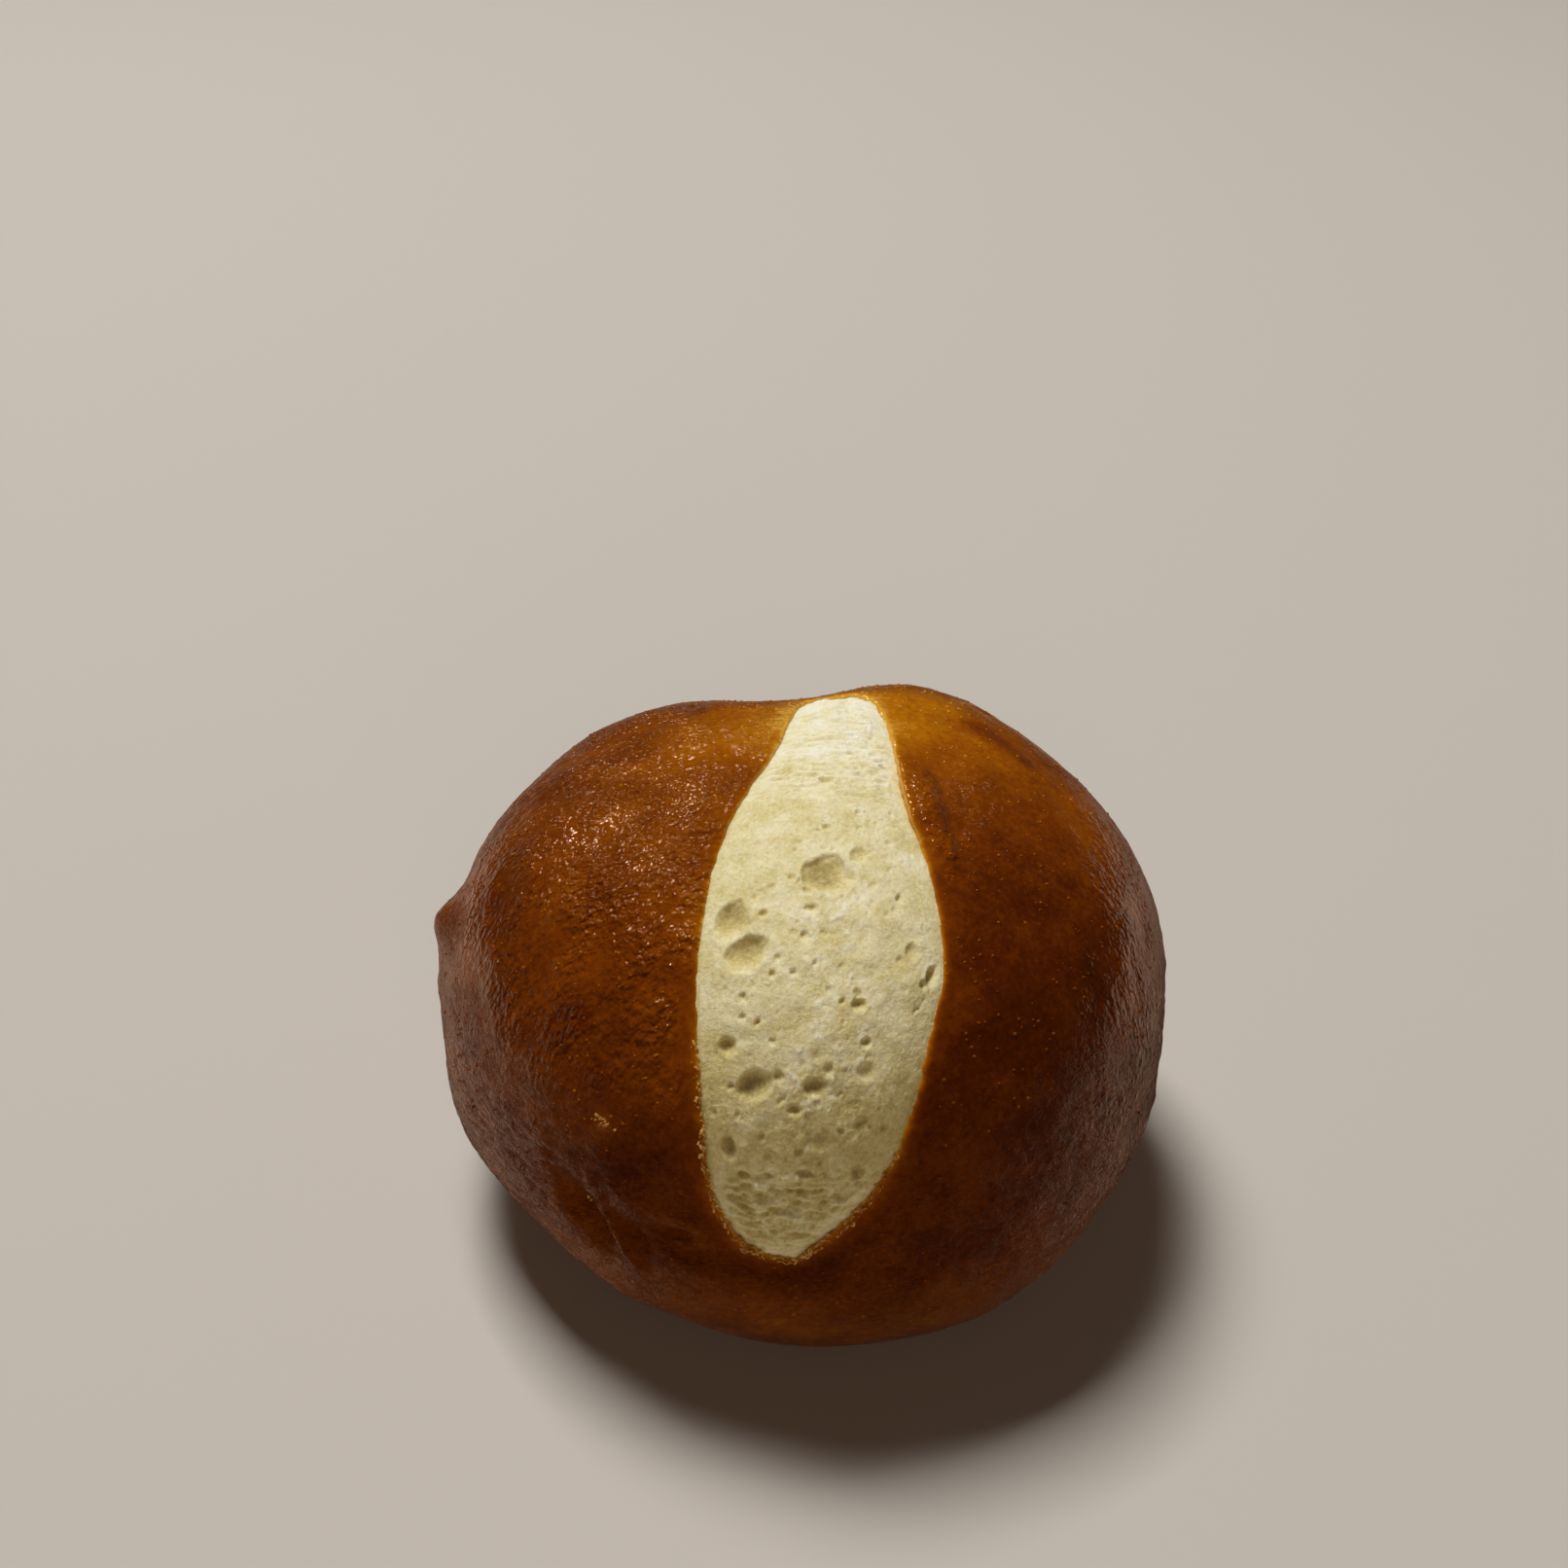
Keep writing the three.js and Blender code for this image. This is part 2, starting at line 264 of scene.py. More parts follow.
# The meshes
HALF_COLUMNS = 235
COLUMNS = 2 * HALF_COLUMNS
CRUST_RINGS = 168
FIRST_RING_SHARE = 0.6
HIDDEN_SHARES = (0.35, 0.8)     # rings under the crumb, from the score's middle to its lips
WALL_DEPTHS = (2.6, 1.7, 1.1, 0.7, 0.35, 0.12)
FAR_FROM_LIP = 60.0             # a gap to the lips at which nothing of them is felt
FOOT_FACE_RADIUS = 20.0
FOOT_FACE_RINGS = 6
MIDDLE_LINE_SHARE = 0.88
CRUMB_ALONG = 400
CRUMB_ACROSS = 236
CRUMB_THICKNESS = 2.0


# ---------------------------------------------------------------------------- the form

def unit(vectors):
    """The same directions, each one unit long."""
    return vectors / np.linalg.norm(vectors, axis=-1, keepdims=True)


def rays_towards(azimuth, elevation):
    """Unit rays, given in degrees round from +X and up from level."""
    turn = np.radians(azimuth)
    lift = np.radians(elevation)
    level = np.cos(lift)
    return np.stack([level * np.cos(turn), level * np.sin(turn), np.sin(lift) + 0 * turn], axis=-1)


def points_on_rays(rays, reach):
    """Points at a reach along each ray from the heart."""
    return rays * reach[..., None] + HEART


def dome_reach(rays):
    """How far the even dome, or the rounder bowl under the waist, reaches along each ray."""
    girth = np.hypot(rays[..., 0] / (BUN_WIDTH / 2), rays[..., 1] / (BUN_LENGTH / 2))
    climb = rays[..., 2]
    below = ease(-climb, -WAIST_BLEND, WAIST_BLEND)
    fullness = CROWN_FULLNESS + (FOOT_FULLNESS - CROWN_FULLNESS) * below
    extent = np.where(climb > 0, BUN_HEIGHT - WAIST_HEIGHT, FOOT_DEPTH)
    climb = np.abs(rays[..., 2]) / extent
    return (girth ** fullness + climb ** fullness) ** (-1 / fullness)


def dome_points(rays):
    """Where the rays meet the even dome."""
    return points_on_rays(rays, dome_reach(rays))


def bump(distance, spread):
    """A soft round hill: 1 at its middle, and nearly gone at twice the spread."""
    return np.exp(-((distance / spread) ** 2))


def ease(value, start, end):
    """A smooth step from 0 at start to 1 at end."""
    share = np.clip((value - start) / (end - start), 0, 1)
    return share * share * (3 - 2 * share)


def grain(points, size, octaves=3):
    """Smooth noise, about -1 to 1, whose bumps lie `size` millimetres apart."""
    scaled = (points / size).reshape(-1, 3).tolist()
    values = [noise.fractal(place, 1.0, 2.0, octaves) for place in scaled]
    return np.array(values).reshape(points.shape[:-1])


def patches(points, places):
    """The sum of soft round patches, each given by azimuth, elevation, spread and strength."""
    total = np.zeros(points.shape[:-1])
    for azimuth, elevation, spread, strength in places:
        centre = dome_points(rays_towards(azimuth, elevation))
        total += strength * bump(np.linalg.norm(points - centre, axis=-1), spread)
    return total


def dome_points_at_height(azimuths, heights):
    """Points of the even dome or bowl, with the blend at the waist left out."""
    climb = heights - WAIST_HEIGHT
    fullness = np.where(climb > 0, CROWN_FULLNESS, FOOT_FULLNESS)
    extent = np.where(climb > 0, BUN_HEIGHT - WAIST_HEIGHT, FOOT_DEPTH)
    girth = (1 - (np.abs(climb) / extent) ** fullness) ** (1 / fullness)
    level = rays_towards(azimuths, 0 * azimuths)
    radius = girth / np.hypot(level[:, 0] / (BUN_WIDTH / 2), level[:, 1] / (BUN_LENGTH / 2))
    return np.column_stack([level[:, 0] * radius, level[:, 1] * radius, heights])


def smooth_curve(knots, count):
    """Evenly spaced points of the centripetal Catmull-Rom curve through the knots."""
    knots = np.asarray(knots, float)
    ends = np.vstack([2 * knots[0] - knots[1], knots, 2 * knots[-1] - knots[-2]])
    t = np.linspace(0, 1, CURVE_STEPS, endpoint=False)[:, None]
    dense = []
    for p0, p1, p2, p3 in zip(ends, ends[1:], ends[2:], ends[3:]):
        a, b, c = (np.linalg.norm(step) ** 0.5 for step in (p1 - p0, p2 - p1, p3 - p2))
        leave = b * ((p1 - p0) / a - (p2 - p0) / (a + b) + (p2 - p1) / b)
        arrive = b * ((p2 - p1) / b - (p3 - p1) / (b + c) + (p3 - p2) / c)
        bend = 3 * (p2 - p1) - 2 * leave - arrive
        twist = 2 * (p1 - p2) + leave + arrive
        dense.append(p1 + leave * t + bend * t ** 2 + twist * t ** 3)
    dense = np.vstack([*dense, knots[-1:]])
    run = np.concatenate([[0], np.cumsum(np.linalg.norm(np.diff(dense, axis=0), axis=1))])
    even = np.linspace(0, run[-1], count)
    return np.column_stack([np.interp(even, run, values) for values in dense.T])


def nearest_on(line, points):
    """The distance from each point to the nearest point of a line, and that point's index."""
    distance = np.full(len(points), np.inf)
    index = np.zeros(len(points), int)
    for i, place in enumerate(line):
        here = np.linalg.norm(points - place, axis=1)
        closer = here < distance
        distance[closer] = here[closer]
        index[closer] = i
    return distance, index


CREASE_KNOTS = dome_points_at_height(*np.array(CREASE_RUN, float).T)
CREASE_LINE = smooth_curve(CREASE_KNOTS, CREASE_POINTS)


def crease_lift(points):
    """The crease above the foot, and the flank that falls back under it."""
    distance, index = nearest_on(CREASE_LINE, points)
    along = index / (len(CREASE_LINE) - 1)
    strength = ease(along, 0, CREASE_FADE) * (1 - ease(along, CREASE_FADE, 1))
    below = ease(CREASE_LINE[index, 2] - points[:, 2], 0, CREASE_WIDTH)
    groove = CREASE_DEPTH * bump(distance, CREASE_WIDTH)
    recess = CREASE_RECESS * below * bump(distance, RECESS_REACH)
    return -strength * (groove + recess)


def fold_lift(points):
    """The short folds, each a straight run between two places that dies away at its ends."""
    total = np.zeros(len(points))
    for azimuth, elevation, far_azimuth, far_elevation, width, height in FOLDS:
        start = dome_points(rays_towards(azimuth, elevation))
        run = dome_points(rays_towards(far_azimuth, far_elevation)) - start
        share = np.clip((points - start) @ run / (run @ run), 0, 1)
        gap = np.linalg.norm(points - start - share[:, None] * run, axis=1)
        gap = gap + FOLD_WAVER * grain(points, FOLD_WAVER_SIZE, 2)
        fade = FOLD_END_SHARE + (1 - FOLD_END_SHARE) * np.sin(np.pi * share)
        total += height * bump(gap, width) * fade
    return total


def reach_to_foot(reach, rays):
    """Ends the flank in the flat foot, with a rounded edge between them."""
    foot_reach = WAIST_HEIGHT / np.maximum(-rays[..., 2], 1e-6)
    overlap = np.maximum(FOOT_ROUNDING - np.abs(reach - foot_reach), 0) / FOOT_ROUNDING
    return np.minimum(reach, foot_reach) - overlap ** 2 * FOOT_ROUNDING / 4


# ---------------------------------------------------------------------------- the score

def crown_rays(side, tilt):
    """Places on the crown, given sideways from the middle and by tilt from the top."""
    side, tilt = np.broadcast_arrays(side, tilt)
    middle = rays_towards(np.full(tilt.shape, 90.0), 90 - tilt)
    places = middle * dome_reach(middle)[..., None]
    places[..., 0] = side
    return unit(places)


def lip_run(column, count, outset=0.0):
    """One torn lip from the front tip to the back: its sides and tilts."""
    stations = np.array(SCORE_STATIONS)
    knots = np.column_stack([stations[:, column], stations[:, 0] * MM_PER_DEGREE])
    even = smooth_curve(knots, count)
    along = np.gradient(even, axis=0)
    outwards = unit(np.column_stack([-along[:, 1], along[:, 0]])) * (1 if column == 1 else -1)
    share = np.linspace(0, 1, count)
    free = ease(share, *FREE_FROM) * ease(-share, *FREE_TO)
    places = np.column_stack([even, np.full(count, LIPS_APART * column)])
    tips = ease(-even[:, 1], *FRONT_FRAY_RUN) + BACK_FRAY * ease(even[:, 1], *BACK_FRAY_RUN)
    fray = (LIP_FRAY + LIP_FRAY_TIPS * tips) * grain(places, LIP_FRAY_SIZE)
    wander = LIP_WANDER * grain(places, LIP_WANDER_SIZE, 2) + fray
    torn = even + outwards * (free * wander + outset)[:, None]
    return torn[:, 0], torn[:, 1] / MM_PER_DEGREE


LEFT_SIDE, LEFT_TILT = lip_run(1, HALF_COLUMNS + 1)
RIGHT_SIDE, RIGHT_TILT = lip_run(2, HALF_COLUMNS + 1)
LIP_RAYS = crown_rays(
    np.concatenate([LEFT_SIDE, RIGHT_SIDE[-2:0:-1]]),
    np.concatenate([LEFT_TILT, RIGHT_TILT[-2:0:-1]]),
)
LIP_LINE = dome_points(LIP_RAYS)
FRONT_TIP = LIP_LINE[0]
BACK_TIP = LIP_LINE[HALF_COLUMNS]
LIP_FOLD_PLACE = dome_points(crown_rays(LIP_FOLD_SIDE, LIP_FOLD_TILT))


def tilt_of(points):
    """How far each point lies from the crown, forwards negative, in degrees."""
    return np.degrees(np.arctan2(points[:, 1], points[:, 2] - WAIST_HEIGHT))


def ridge_share(points, lip_gap):
    """The narrow rough ridge beside the right lip of the upper score, 0 to 1."""
    tilt = tilt_of(points)
    window = ease(tilt, *RIDGE_FROM) * ease(-tilt, *RIDGE_TO) * (points[:, 0] > RIDGE_LEAST_SIDE)
    return window * bump(lip_gap - RIDGE_OFFSET, RIDGE_WIDTH)


def crust_lift(points, lip_gap):
    """Everything that stands above or below the even dome on the crust."""
    from_fold = np.linalg.norm(points - LIP_FOLD_PLACE, axis=1)
    low_back = 1 - BACK_LIP_FALL * ease(tilt_of(points), *BACK_LIP_TILTS)
    lip = LIP_RISE * low_back + LIP_FOLD_HEIGHT * bump(from_fold, LIP_FOLD_SPREAD)
    lip = lip * np.exp(-lip_gap / LIP_REACH)
    rounding = LIP_EDGE_DROP * np.clip(1 - lip_gap / LIP_EDGE, 0, 1) ** 2
    ridge = RIDGE_HEIGHT + RIDGE_LUMPS * grain(points, RIDGE_LUMP_SIZE)
    ridge = ridge * ridge_share(points, lip_gap)
    uneven = sum(height * grain(points, size, octaves) for size, octaves, height in UNEVENNESS)
    wrinkled = ease(-points[:, 2], *WRINKLE_FALL) * ease(lip_gap, *WRINKLE_GAPS)
    wrinkled = wrinkled * grain(points * WRINKLE_SQUASH, WRINKLE_SPACING)
    uneven = (uneven + WRINKLE_HEIGHT * wrinkled) * ease(points[:, 2], *UNEVEN_FROM)
    uneven = uneven + fold_lift(points)
    return patches(points, SWELLS) + crease_lift(points) + lip - rounding + ridge + uneven


# ---------------------------------------------------------------------------- meshes

def closed_mesh(name, points, faces):
    """A mesh in metres of one closed skin, its faces turned outwards."""
    mesh = bpy.data.meshes.new(name)
    mesh.from_pydata((points * MM).tolist(), [], faces)
    shell = bmesh.new()
    shell.from_mesh(mesh)
    bmesh.ops.recalc_face_normals(shell, faces=shell.faces)
    shell.to_mesh(mesh)
    shell.free()
    mesh.shade_smooth()
    return mesh


def add_attribute(mesh, name, values):
    """Gives each point of a mesh a value that materials and trees read by name."""
    layer = mesh.attributes.new(name, "FLOAT", "POINT")
    layer.data.foreach_set("value", np.asarray(values, np.float32))


def add_object(name, mesh):
    """Puts a mesh into the scene as a piece at the origin."""
    piece = bpy.data.objects.new(name, mesh)
    bpy.context.scene.collection.objects.link(piece)
    return piece


def grid_faces(rows, columns, closed):
    """Quads over rows of points, each row joined to the next, and to itself if closed."""
    row = np.arange(rows - 1)[:, None] * columns
    column = np.arange(columns if closed else columns - 1)[None, :]
    after = (column + 1) % columns
    return np.stack([row + column, row + after, row + columns + after, row + columns + column], -1)


def chart_of(rays):
    """A flat chart of all rays, in degrees from straight up."""
    turn = np.arctan2(rays[:, 1], rays[:, 0])
    angle = np.degrees(np.arccos(np.clip(rays[:, 2], -1, 1)))
    return np.column_stack([np.cos(turn), np.sin(turn)]) * angle[:, None]


def rays_of(chart):
    """The rays of places on that chart."""
    return rays_towards(np.degrees(np.arctan2(chart[:, 1], chart[:, 0])), 90 - np.hypot(*chart.T))


def middle_line_chart():
    """The middle line of the score, a little shorter than it, as the lips' columns meet there."""
    half = np.minimum(np.arange(COLUMNS), COLUMNS - np.arange(COLUMNS))
    side = (LEFT_SIDE + RIGHT_SIDE)[half] / 2
    tilt = (LEFT_TILT + RIGHT_TILT)[half] / 2
    middle = (SCORE_STATIONS[0][0] + SCORE_STATIONS[-1][0]) / 2
    return chart_of(crown_rays(side, middle + (tilt - middle) * MIDDLE_LINE_SHARE))


def crust_rings():
    """Rings of points from under the crumb, up the torn wall, over the flank and to the foot."""
    lips = chart_of(LIP_RAYS)
    middle = middle_line_chart()
    lip_lift = crust_lift(LIP_LINE, np.zeros(COLUMNS))
    for share in HIDDEN_SHARES:
        rays = rays_of(middle + (lips - middle) * share)
        yield points_on_rays(rays, dome_reach(rays) - WALL_DEPTHS[0]), np.zeros(COLUMNS)
    lip_reach = dome_reach(LIP_RAYS) + lip_lift
    for depth in WALL_DEPTHS:
        yield points_on_rays(LIP_RAYS, lip_reach - depth), np.full(COLUMNS, -depth)

    turn = np.radians(-90 - 360 * np.arange(COLUMNS) / COLUMNS)
    around = np.column_stack([np.cos(turn), np.sin(turn)])
    foot = around * (180 - math.degrees(math.atan(FOOT_FACE_RADIUS / WAIST_HEIGHT)))
    for step in np.linspace(0, 1, CRUST_RINGS + 1):
        share = step * (FIRST_RING_SHARE + (1 - FIRST_RING_SHARE) * step)
        rays = rays_of(lips + (foot - lips) * share)
        even = dome_points(rays)
        lip_gap, _ = nearest_on(LIP_LINE, even)
        reach = dome_reach(rays) + crust_lift(even, lip_gap)
        yield points_on_rays(rays, reach_to_foot(reach, rays)), lip_gap
    for share in np.linspace(1, 0, FOOT_FACE_RINGS + 1)[1:-1]:
        radius = FOOT_FACE_RADIUS * share
        yield np.column_stack([around * radius, np.zeros(COLUMNS)]), np.full(COLUMNS, FAR_FROM_LIP)


def crust_mesh():
    """The crust as one closed skin, which runs on under the crumb, and its points. It carries how
    far it browned and how rough it is at each of them."""
    rings, gaps = zip(*crust_rings())
    points = np.vstack(rings)
    faces = grid_faces(len(rings), COLUMNS, closed=True).reshape(-1, 4).tolist()

    # Strips across the score close the innermost ring, and one face closes the foot
    faces += [[i, i + 1, COLUMNS - i - 1, COLUMNS - i] for i in range(1, HALF_COLUMNS - 1)]
    faces.append([0, 1, COLUMNS - 1])
    faces.append([HALF_COLUMNS - 1, HALF_COLUMNS, HALF_COLUMNS + 1])
    last = (len(rings) - 1) * COLUMNS
    faces.append(list(range(last, last + COLUMNS)))
    mesh = closed_mesh("bun_crust", points, faces)
    for name, values in crust_fields(points, np.concatenate(gaps)).items():
        add_attribute(mesh, name, values)
    return mesh, points


def pores():
    """Small seeded gas cells between the large ones, in the same terms."""
    draw = random.Random(PORE_SEED)
    small, large = PORE_RADIUS
    for _ in range(PORE_COUNT):
        tilt = draw.uniform(*PORE_TILTS)
        left = np.interp(tilt, LEFT_TILT, LEFT_SIDE)
        right = np.interp(tilt, RIGHT_TILT, RIGHT_SIDE)
        share = draw.betavariate(PORE_GATHERING, PORE_GATHERING)
        length = 2 * (small + (large - small) * draw.random() ** 3)
        breadth = length * draw.uniform(*PORE_BREADTH)
        depth = length * draw.uniform(*PORE_DEPTH)
        turn = draw.uniform(*PORE_TURN)
        if tilt < LAYERED_TILT:
            length *= LAYERED_STRETCH
            depth *= LAYERED_DEEPENING
            turn = turn / 3
        yield left + (right - left) * share, tilt, length, breadth, turn, depth


def hollow_out(side, tilt, wobble):
    """How deep the gas cells cut into the crumb, and how high their thin rims stand. A cell is
    steep at its upper left and runs out softly at its lower right."""
    hollow = np.zeros(side.shape)
    rim = np.zeros(side.shape)
    for cell_side, cell_tilt, length, breadth, turn, depth in [*CELLS, *pores()]:
        across = side - cell_side
        up = (tilt - cell_tilt) * MM_PER_DEGREE
        near = np.hypot(across, up) < length
        across = across[near]
        up = up[near]
        cos = math.cos(math.radians(turn))
        sin = math.sin(math.radians(turn))
        out = np.hypot((across * cos + up * sin) * 2 / length, (up * cos - across * sin) * 2 / breadth)
        out = out * (1 + CELL_WOBBLE * wobble[near])
        lean = np.clip(0.7 + CELL_LEAN * (0.8 * up - 0.6 * across) / length, 0.2, 1.2)
        bowl = depth * np.clip(1 - out ** 2, 0, 1) * lean
        hollow[near] = np.maximum(hollow[near], bowl)
        edge = CELL_RIM * depth * bump(out - CELL_RIM_PLACE, CELL_RIM_WIDTH)
        rim[near] = np.maximum(rim[near], edge)
    return hollow, rim


def crumb_relief(even, side, tilt, lip_gap):
    """How far the crumb stands above the even dome at each point, and how dark it is painted, from 0
    where
    it is palest to 1: its own tan, with painted shade towards the front, low down, in the gas cells
    and partly along the lips, painted highlight on the shreds, and painted light and shade on the
    layers."""
    step = (LIP_STEP + FRONT_STEP * bump(np.linalg.norm(even - FRONT_TIP, axis=1), STEP_SPREAD)
            + BACK_STEP * bump(np.linalg.norm(even - BACK_TIP, axis=1), STEP_SPREAD))
    swelling = CRUMB_SWELL * (1 - np.exp(-lip_gap / CRUMB_SWELL_RUN))
    wobble = grain(even, TORN_SIZE, 3)
    hollow, rim = hollow_out(side, tilt, wobble)
    inner = ease(lip_gap, *TORN_GAPS)

    strings = np.column_stack([
        side / LAYER_LENGTH, tilt * MM_PER_DEGREE / LAYER_SPACING, LAYER_WAVER * wobble])
    layers = (ease(tilt, *UPPER_LAYERS) + ease(-tilt, *LOW_LAYERS)) * grain(strings, 1)
    middle = bump(side - SHRED_SIDE, SHRED_SPREAD) * ease(tilt, *SHRED_FROM) * ease(-tilt, *SHRED_TO)
    torn = ease(grain(even + ELSEWHERE, TORN_SIZE, 3) + TORN_IN_MIDDLE * middle, *TORN_NOISE)
    shreds = middle * ease(grain(even - ELSEWHERE, SHRED_SIZE), *SHRED_NOISE)

    fluff = LUMP_HEIGHT * inner * grain(even, LUMP_SIZE) + SHRED_HEIGHT * shreds
    fluff = fluff + (GRIT_HEIGHT + TORN_GRIT_HEIGHT * torn) * grain(even, GRIT_SIZE)
    fluff = fluff + (LAYER_HEIGHT + LOW_LAYER_HEIGHT * ease(-tilt, *DEEP_LAYERS)) * inner * layers
    lift = patches(even, SWELLS) + swelling - step + fluff + inner * (rim - hollow)

    # Painted shade towards the front here, and low in front in the next line, on top of the crumb's
    # own tan
    tan = CRUMB_TAN + FRONT_PAINTED_SHADE * ease(-tilt, *FRONT_SHADE_TILTS) - TIP_PALER * ease(-tilt, *TIP_TILTS)
    # Painted shade inside the gas cells, darker where they are deeper
    tan = tan + LOW_PAINTED_SHADE * ease(-tilt, *LOW_SHADE_TILTS) + CELL_PAINTED_SHADE * hollow * inner
    # Partly the crumb's own yellowing beside the crust, partly painted shade under the lips
    tan = tan + NEAR_LIP_TAN_AND_SHADE * np.exp(-lip_gap / NEAR_LIP_TAN_AND_SHADE_REACH)
    # Painted highlight on the shreds; painted light on the tops of the layers and painted shade in
    # their grooves
    tan = tan - TORN_CRUMB_PALER * torn - SHRED_PAINTED_HIGHLIGHT * shreds - LAYER_PAINTED_LIGHT_AND_SHADE * layers
    return lift, tan


def crumb_mesh():
    """The bare crumb as a closed lens between the lips, with its cells and torn strings."""
    left = lip_run(1, CRUMB_ALONG + 1, CRUMB_TUCK)
    right = lip_run(2, CRUMB_ALONG + 1, CRUMB_TUCK)
    share = np.linspace(0, 1, CRUMB_ACROSS + 1)
    side = (left[0][:, None] + (right[0] - left[0])[:, None] * share).ravel()
    tilt = (left[1][:, None] + (right[1] - left[1])[:, None] * share).ravel()
    rays = crown_rays(side, tilt)
    even = dome_points(rays)
    lip_gap, _ = nearest_on(LIP_LINE, even)
    lift, tan = crumb_relief(even, side, tilt, lip_gap)
    top = points_on_rays(rays, dome_reach(rays) + lift)

    # The rim of the sheet is copied lower down, and the copy is closed by strips across it
    columns = CRUMB_ACROSS + 1
    rows = CRUMB_ALONG + 1
    edge = np.concatenate([
        np.arange(columns),
        np.arange(1, rows) * columns + columns - 1,
        (rows - 1) * columns + np.arange(columns - 2, -1, -1),
        np.arange(rows - 2, 0, -1) * columns,
    ])
    low = points_on_rays(rays[edge], dome_reach(rays[edge]) - CRUMB_THICKNESS)
    points = np.vstack([top, low])
    faces = grid_faces(rows, columns, closed=False).reshape(-1, 4).tolist()
    start = len(top)
    count = len(edge)
    after = np.roll(edge, -1)
    faces += [[int(edge[i]), int(after[i]), start + (i + 1) % count, start + i] for i in range(count)]
    right_low = [start + CRUMB_ACROSS + i for i in range(rows)]
    left_low = [start + (count - i) % count for i in range(rows)]
    faces.append([start + i for i in range(columns)])
    faces.append([right_low[-1] + i for i in range(columns)])
    faces += [[left_low[i], right_low[i], right_low[i + 1], left_low[i + 1]] for i in range(rows - 1)]
    mesh = closed_mesh("bun_crumb", points, faces)
    # The tan attribute holds the crumb's own tan with painted shade and painted highlight in it
    add_attribute(mesh, "tan", np.concatenate([tan, np.zeros(count)]))
    return mesh


# ---------------------------------------------------------------------------- materials

def linear(code):
    """An sRGB hex colour as linear RGBA."""
    channels = [int(code[i:i + 2], 16) / 255 for i in (1, 3, 5)]
    return (*[c / 12.92 if c <= 0.04045 else ((c + 0.055) / 1.055) ** 2.4 for c in channels], 1.0)


def add_node(tree, kind, inputs=None, **settings):
    """Adds a node with its settings. An input is a plain value, a socket of another node, or
    that node itself for its first output."""
    node = tree.nodes.new(kind)
    for name, value in settings.items():
        setattr(node, name, value)
    for socket, value in (inputs or {}).items():
        if isinstance(value, bpy.types.Node):
            value = value.outputs[0]
        if isinstance(value, bpy.types.NodeSocket):
            tree.links.new(value, node.inputs[socket])
        else:
            node.inputs[socket].default_value = value
    return node


def new_material(name):
    """An empty material and its node tree."""
    material = bpy.data.materials.new(name)
    material.use_nodes = True
    material.node_tree.nodes.clear()
    return material, material.node_tree


def per_mm(size):
    """The texture scale, in object metres, of a pattern whose marks are `size` mm apart."""
    return 1 / (size * MM)


def set_stops(ramp, stops):
    """Gives a colour ramp its stops, each a position and a colour."""
    elements = ramp.color_ramp.elements
    while len(elements) < len(stops):
        elements.new(0.5)
    for element, (position, code) in zip(elements, stops):
        element.position = position
        element.color = linear(code)


def browned_crust(title, paler):
    """Lye-dipped wheat crust, browned in the oven: a thin hard glossy skin, chestnut to
    mahogany, amber where the tear kept it pale, with pin-prick blisters that catch the light."""
    material, tree = new_material(title)
    place = add_node(tree, "ShaderNodeTexCoord").outputs["Object"]
    bake, peel_share, wrinkle_share = (
        add_node(tree, "ShaderNodeAttribute", attribute_name=name).outputs["Fac"]
        for name in ("bake", "peel", "wrinkle"))
    cloud = add_node(tree, "ShaderNodeTexNoise", {
        "Vector": place, "Scale": per_mm(6), "Detail": 5.0, "Roughness": 0.6})

    # The real skin's speckle, peel and wrinkles are finer, but these are coarse enough to show
    speckle = add_node(tree, "ShaderNodeTexNoise", {
        "Vector": place, "Scale": per_mm(0.6), "Detail": 4.0, "Roughness": 0.7})
    tone = add_node(tree, "ShaderNodeMath", {0: cloud, 1: 0.6, 2: bake}, operation="MULTIPLY_ADD")
    tone = add_node(tree, "ShaderNodeMath", {0: speckle, 1: 0.5, 2: tone}, operation="MULTIPLY_ADD")
    tone = add_node(tree, "ShaderNodeMath", {0: tone, 1: 0.55 + paler}, operation="SUBTRACT")
    brown = add_node(tree, "ShaderNodeValToRGB", {"Fac": tone})
    set_stops(brown, (
        (0.0, "#dba23a"), (0.18, "#b87008"), (0.4, "#964e04"), (0.6, "#783704"),
        (0.8, "#582203"), (1.0, "#3a1403")))

    upright = add_node(tree, "ShaderNodeMapping", {"Vector": place, "Scale": (1.0, 1.0, 0.65)})
    peel = add_node(tree, "ShaderNodeTexNoise", {
        "Vector": upright, "Scale": per_mm(0.6), "Detail": 1.5, "Roughness": 0.45})
    peel = add_node(tree, "ShaderNodeMath", {0: peel, 1: peel_share}, operation="MULTIPLY")
    level = add_node(tree, "ShaderNodeMapping", {"Vector": place, "Scale": (1.0, 1.0, 1.9)})
    wrinkle = add_node(tree, "ShaderNodeTexNoise", {
        "Vector": level, "Scale": per_mm(0.55), "Detail": 3.0, "Roughness": 0.6,
        "Distortion": 1.0})
    wrinkle = add_node(tree, "ShaderNodeMath", {0: wrinkle, 1: wrinkle_share}, operation="MULTIPLY")
    relief = add_node(tree, "ShaderNodeMath", {0: wrinkle, 1: 1.05, 2: peel},
                      operation="MULTIPLY_ADD")
    bumps = add_node(tree, "ShaderNodeBump", {
        "Height": relief, "Strength": 1.0, "Distance": 0.45 * MM})
    gloss = add_node(tree, "ShaderNodeMapRange", {
        "Value": cloud, "From Min": 0.3, "From Max": 0.7, "To Min": 0.05, "To Max": 0.11})
    skin = add_node(tree, "ShaderNodeBsdfPrincipled", {
        "Base Color": brown, "Roughness": gloss, "IOR": 1.5,
        "Specular Tint": (1.0, 0.76, 0.44, 1.0), "Normal": bumps})
    add_node(tree, "ShaderNodeOutputMaterial", {"Surface": skin})
    return material


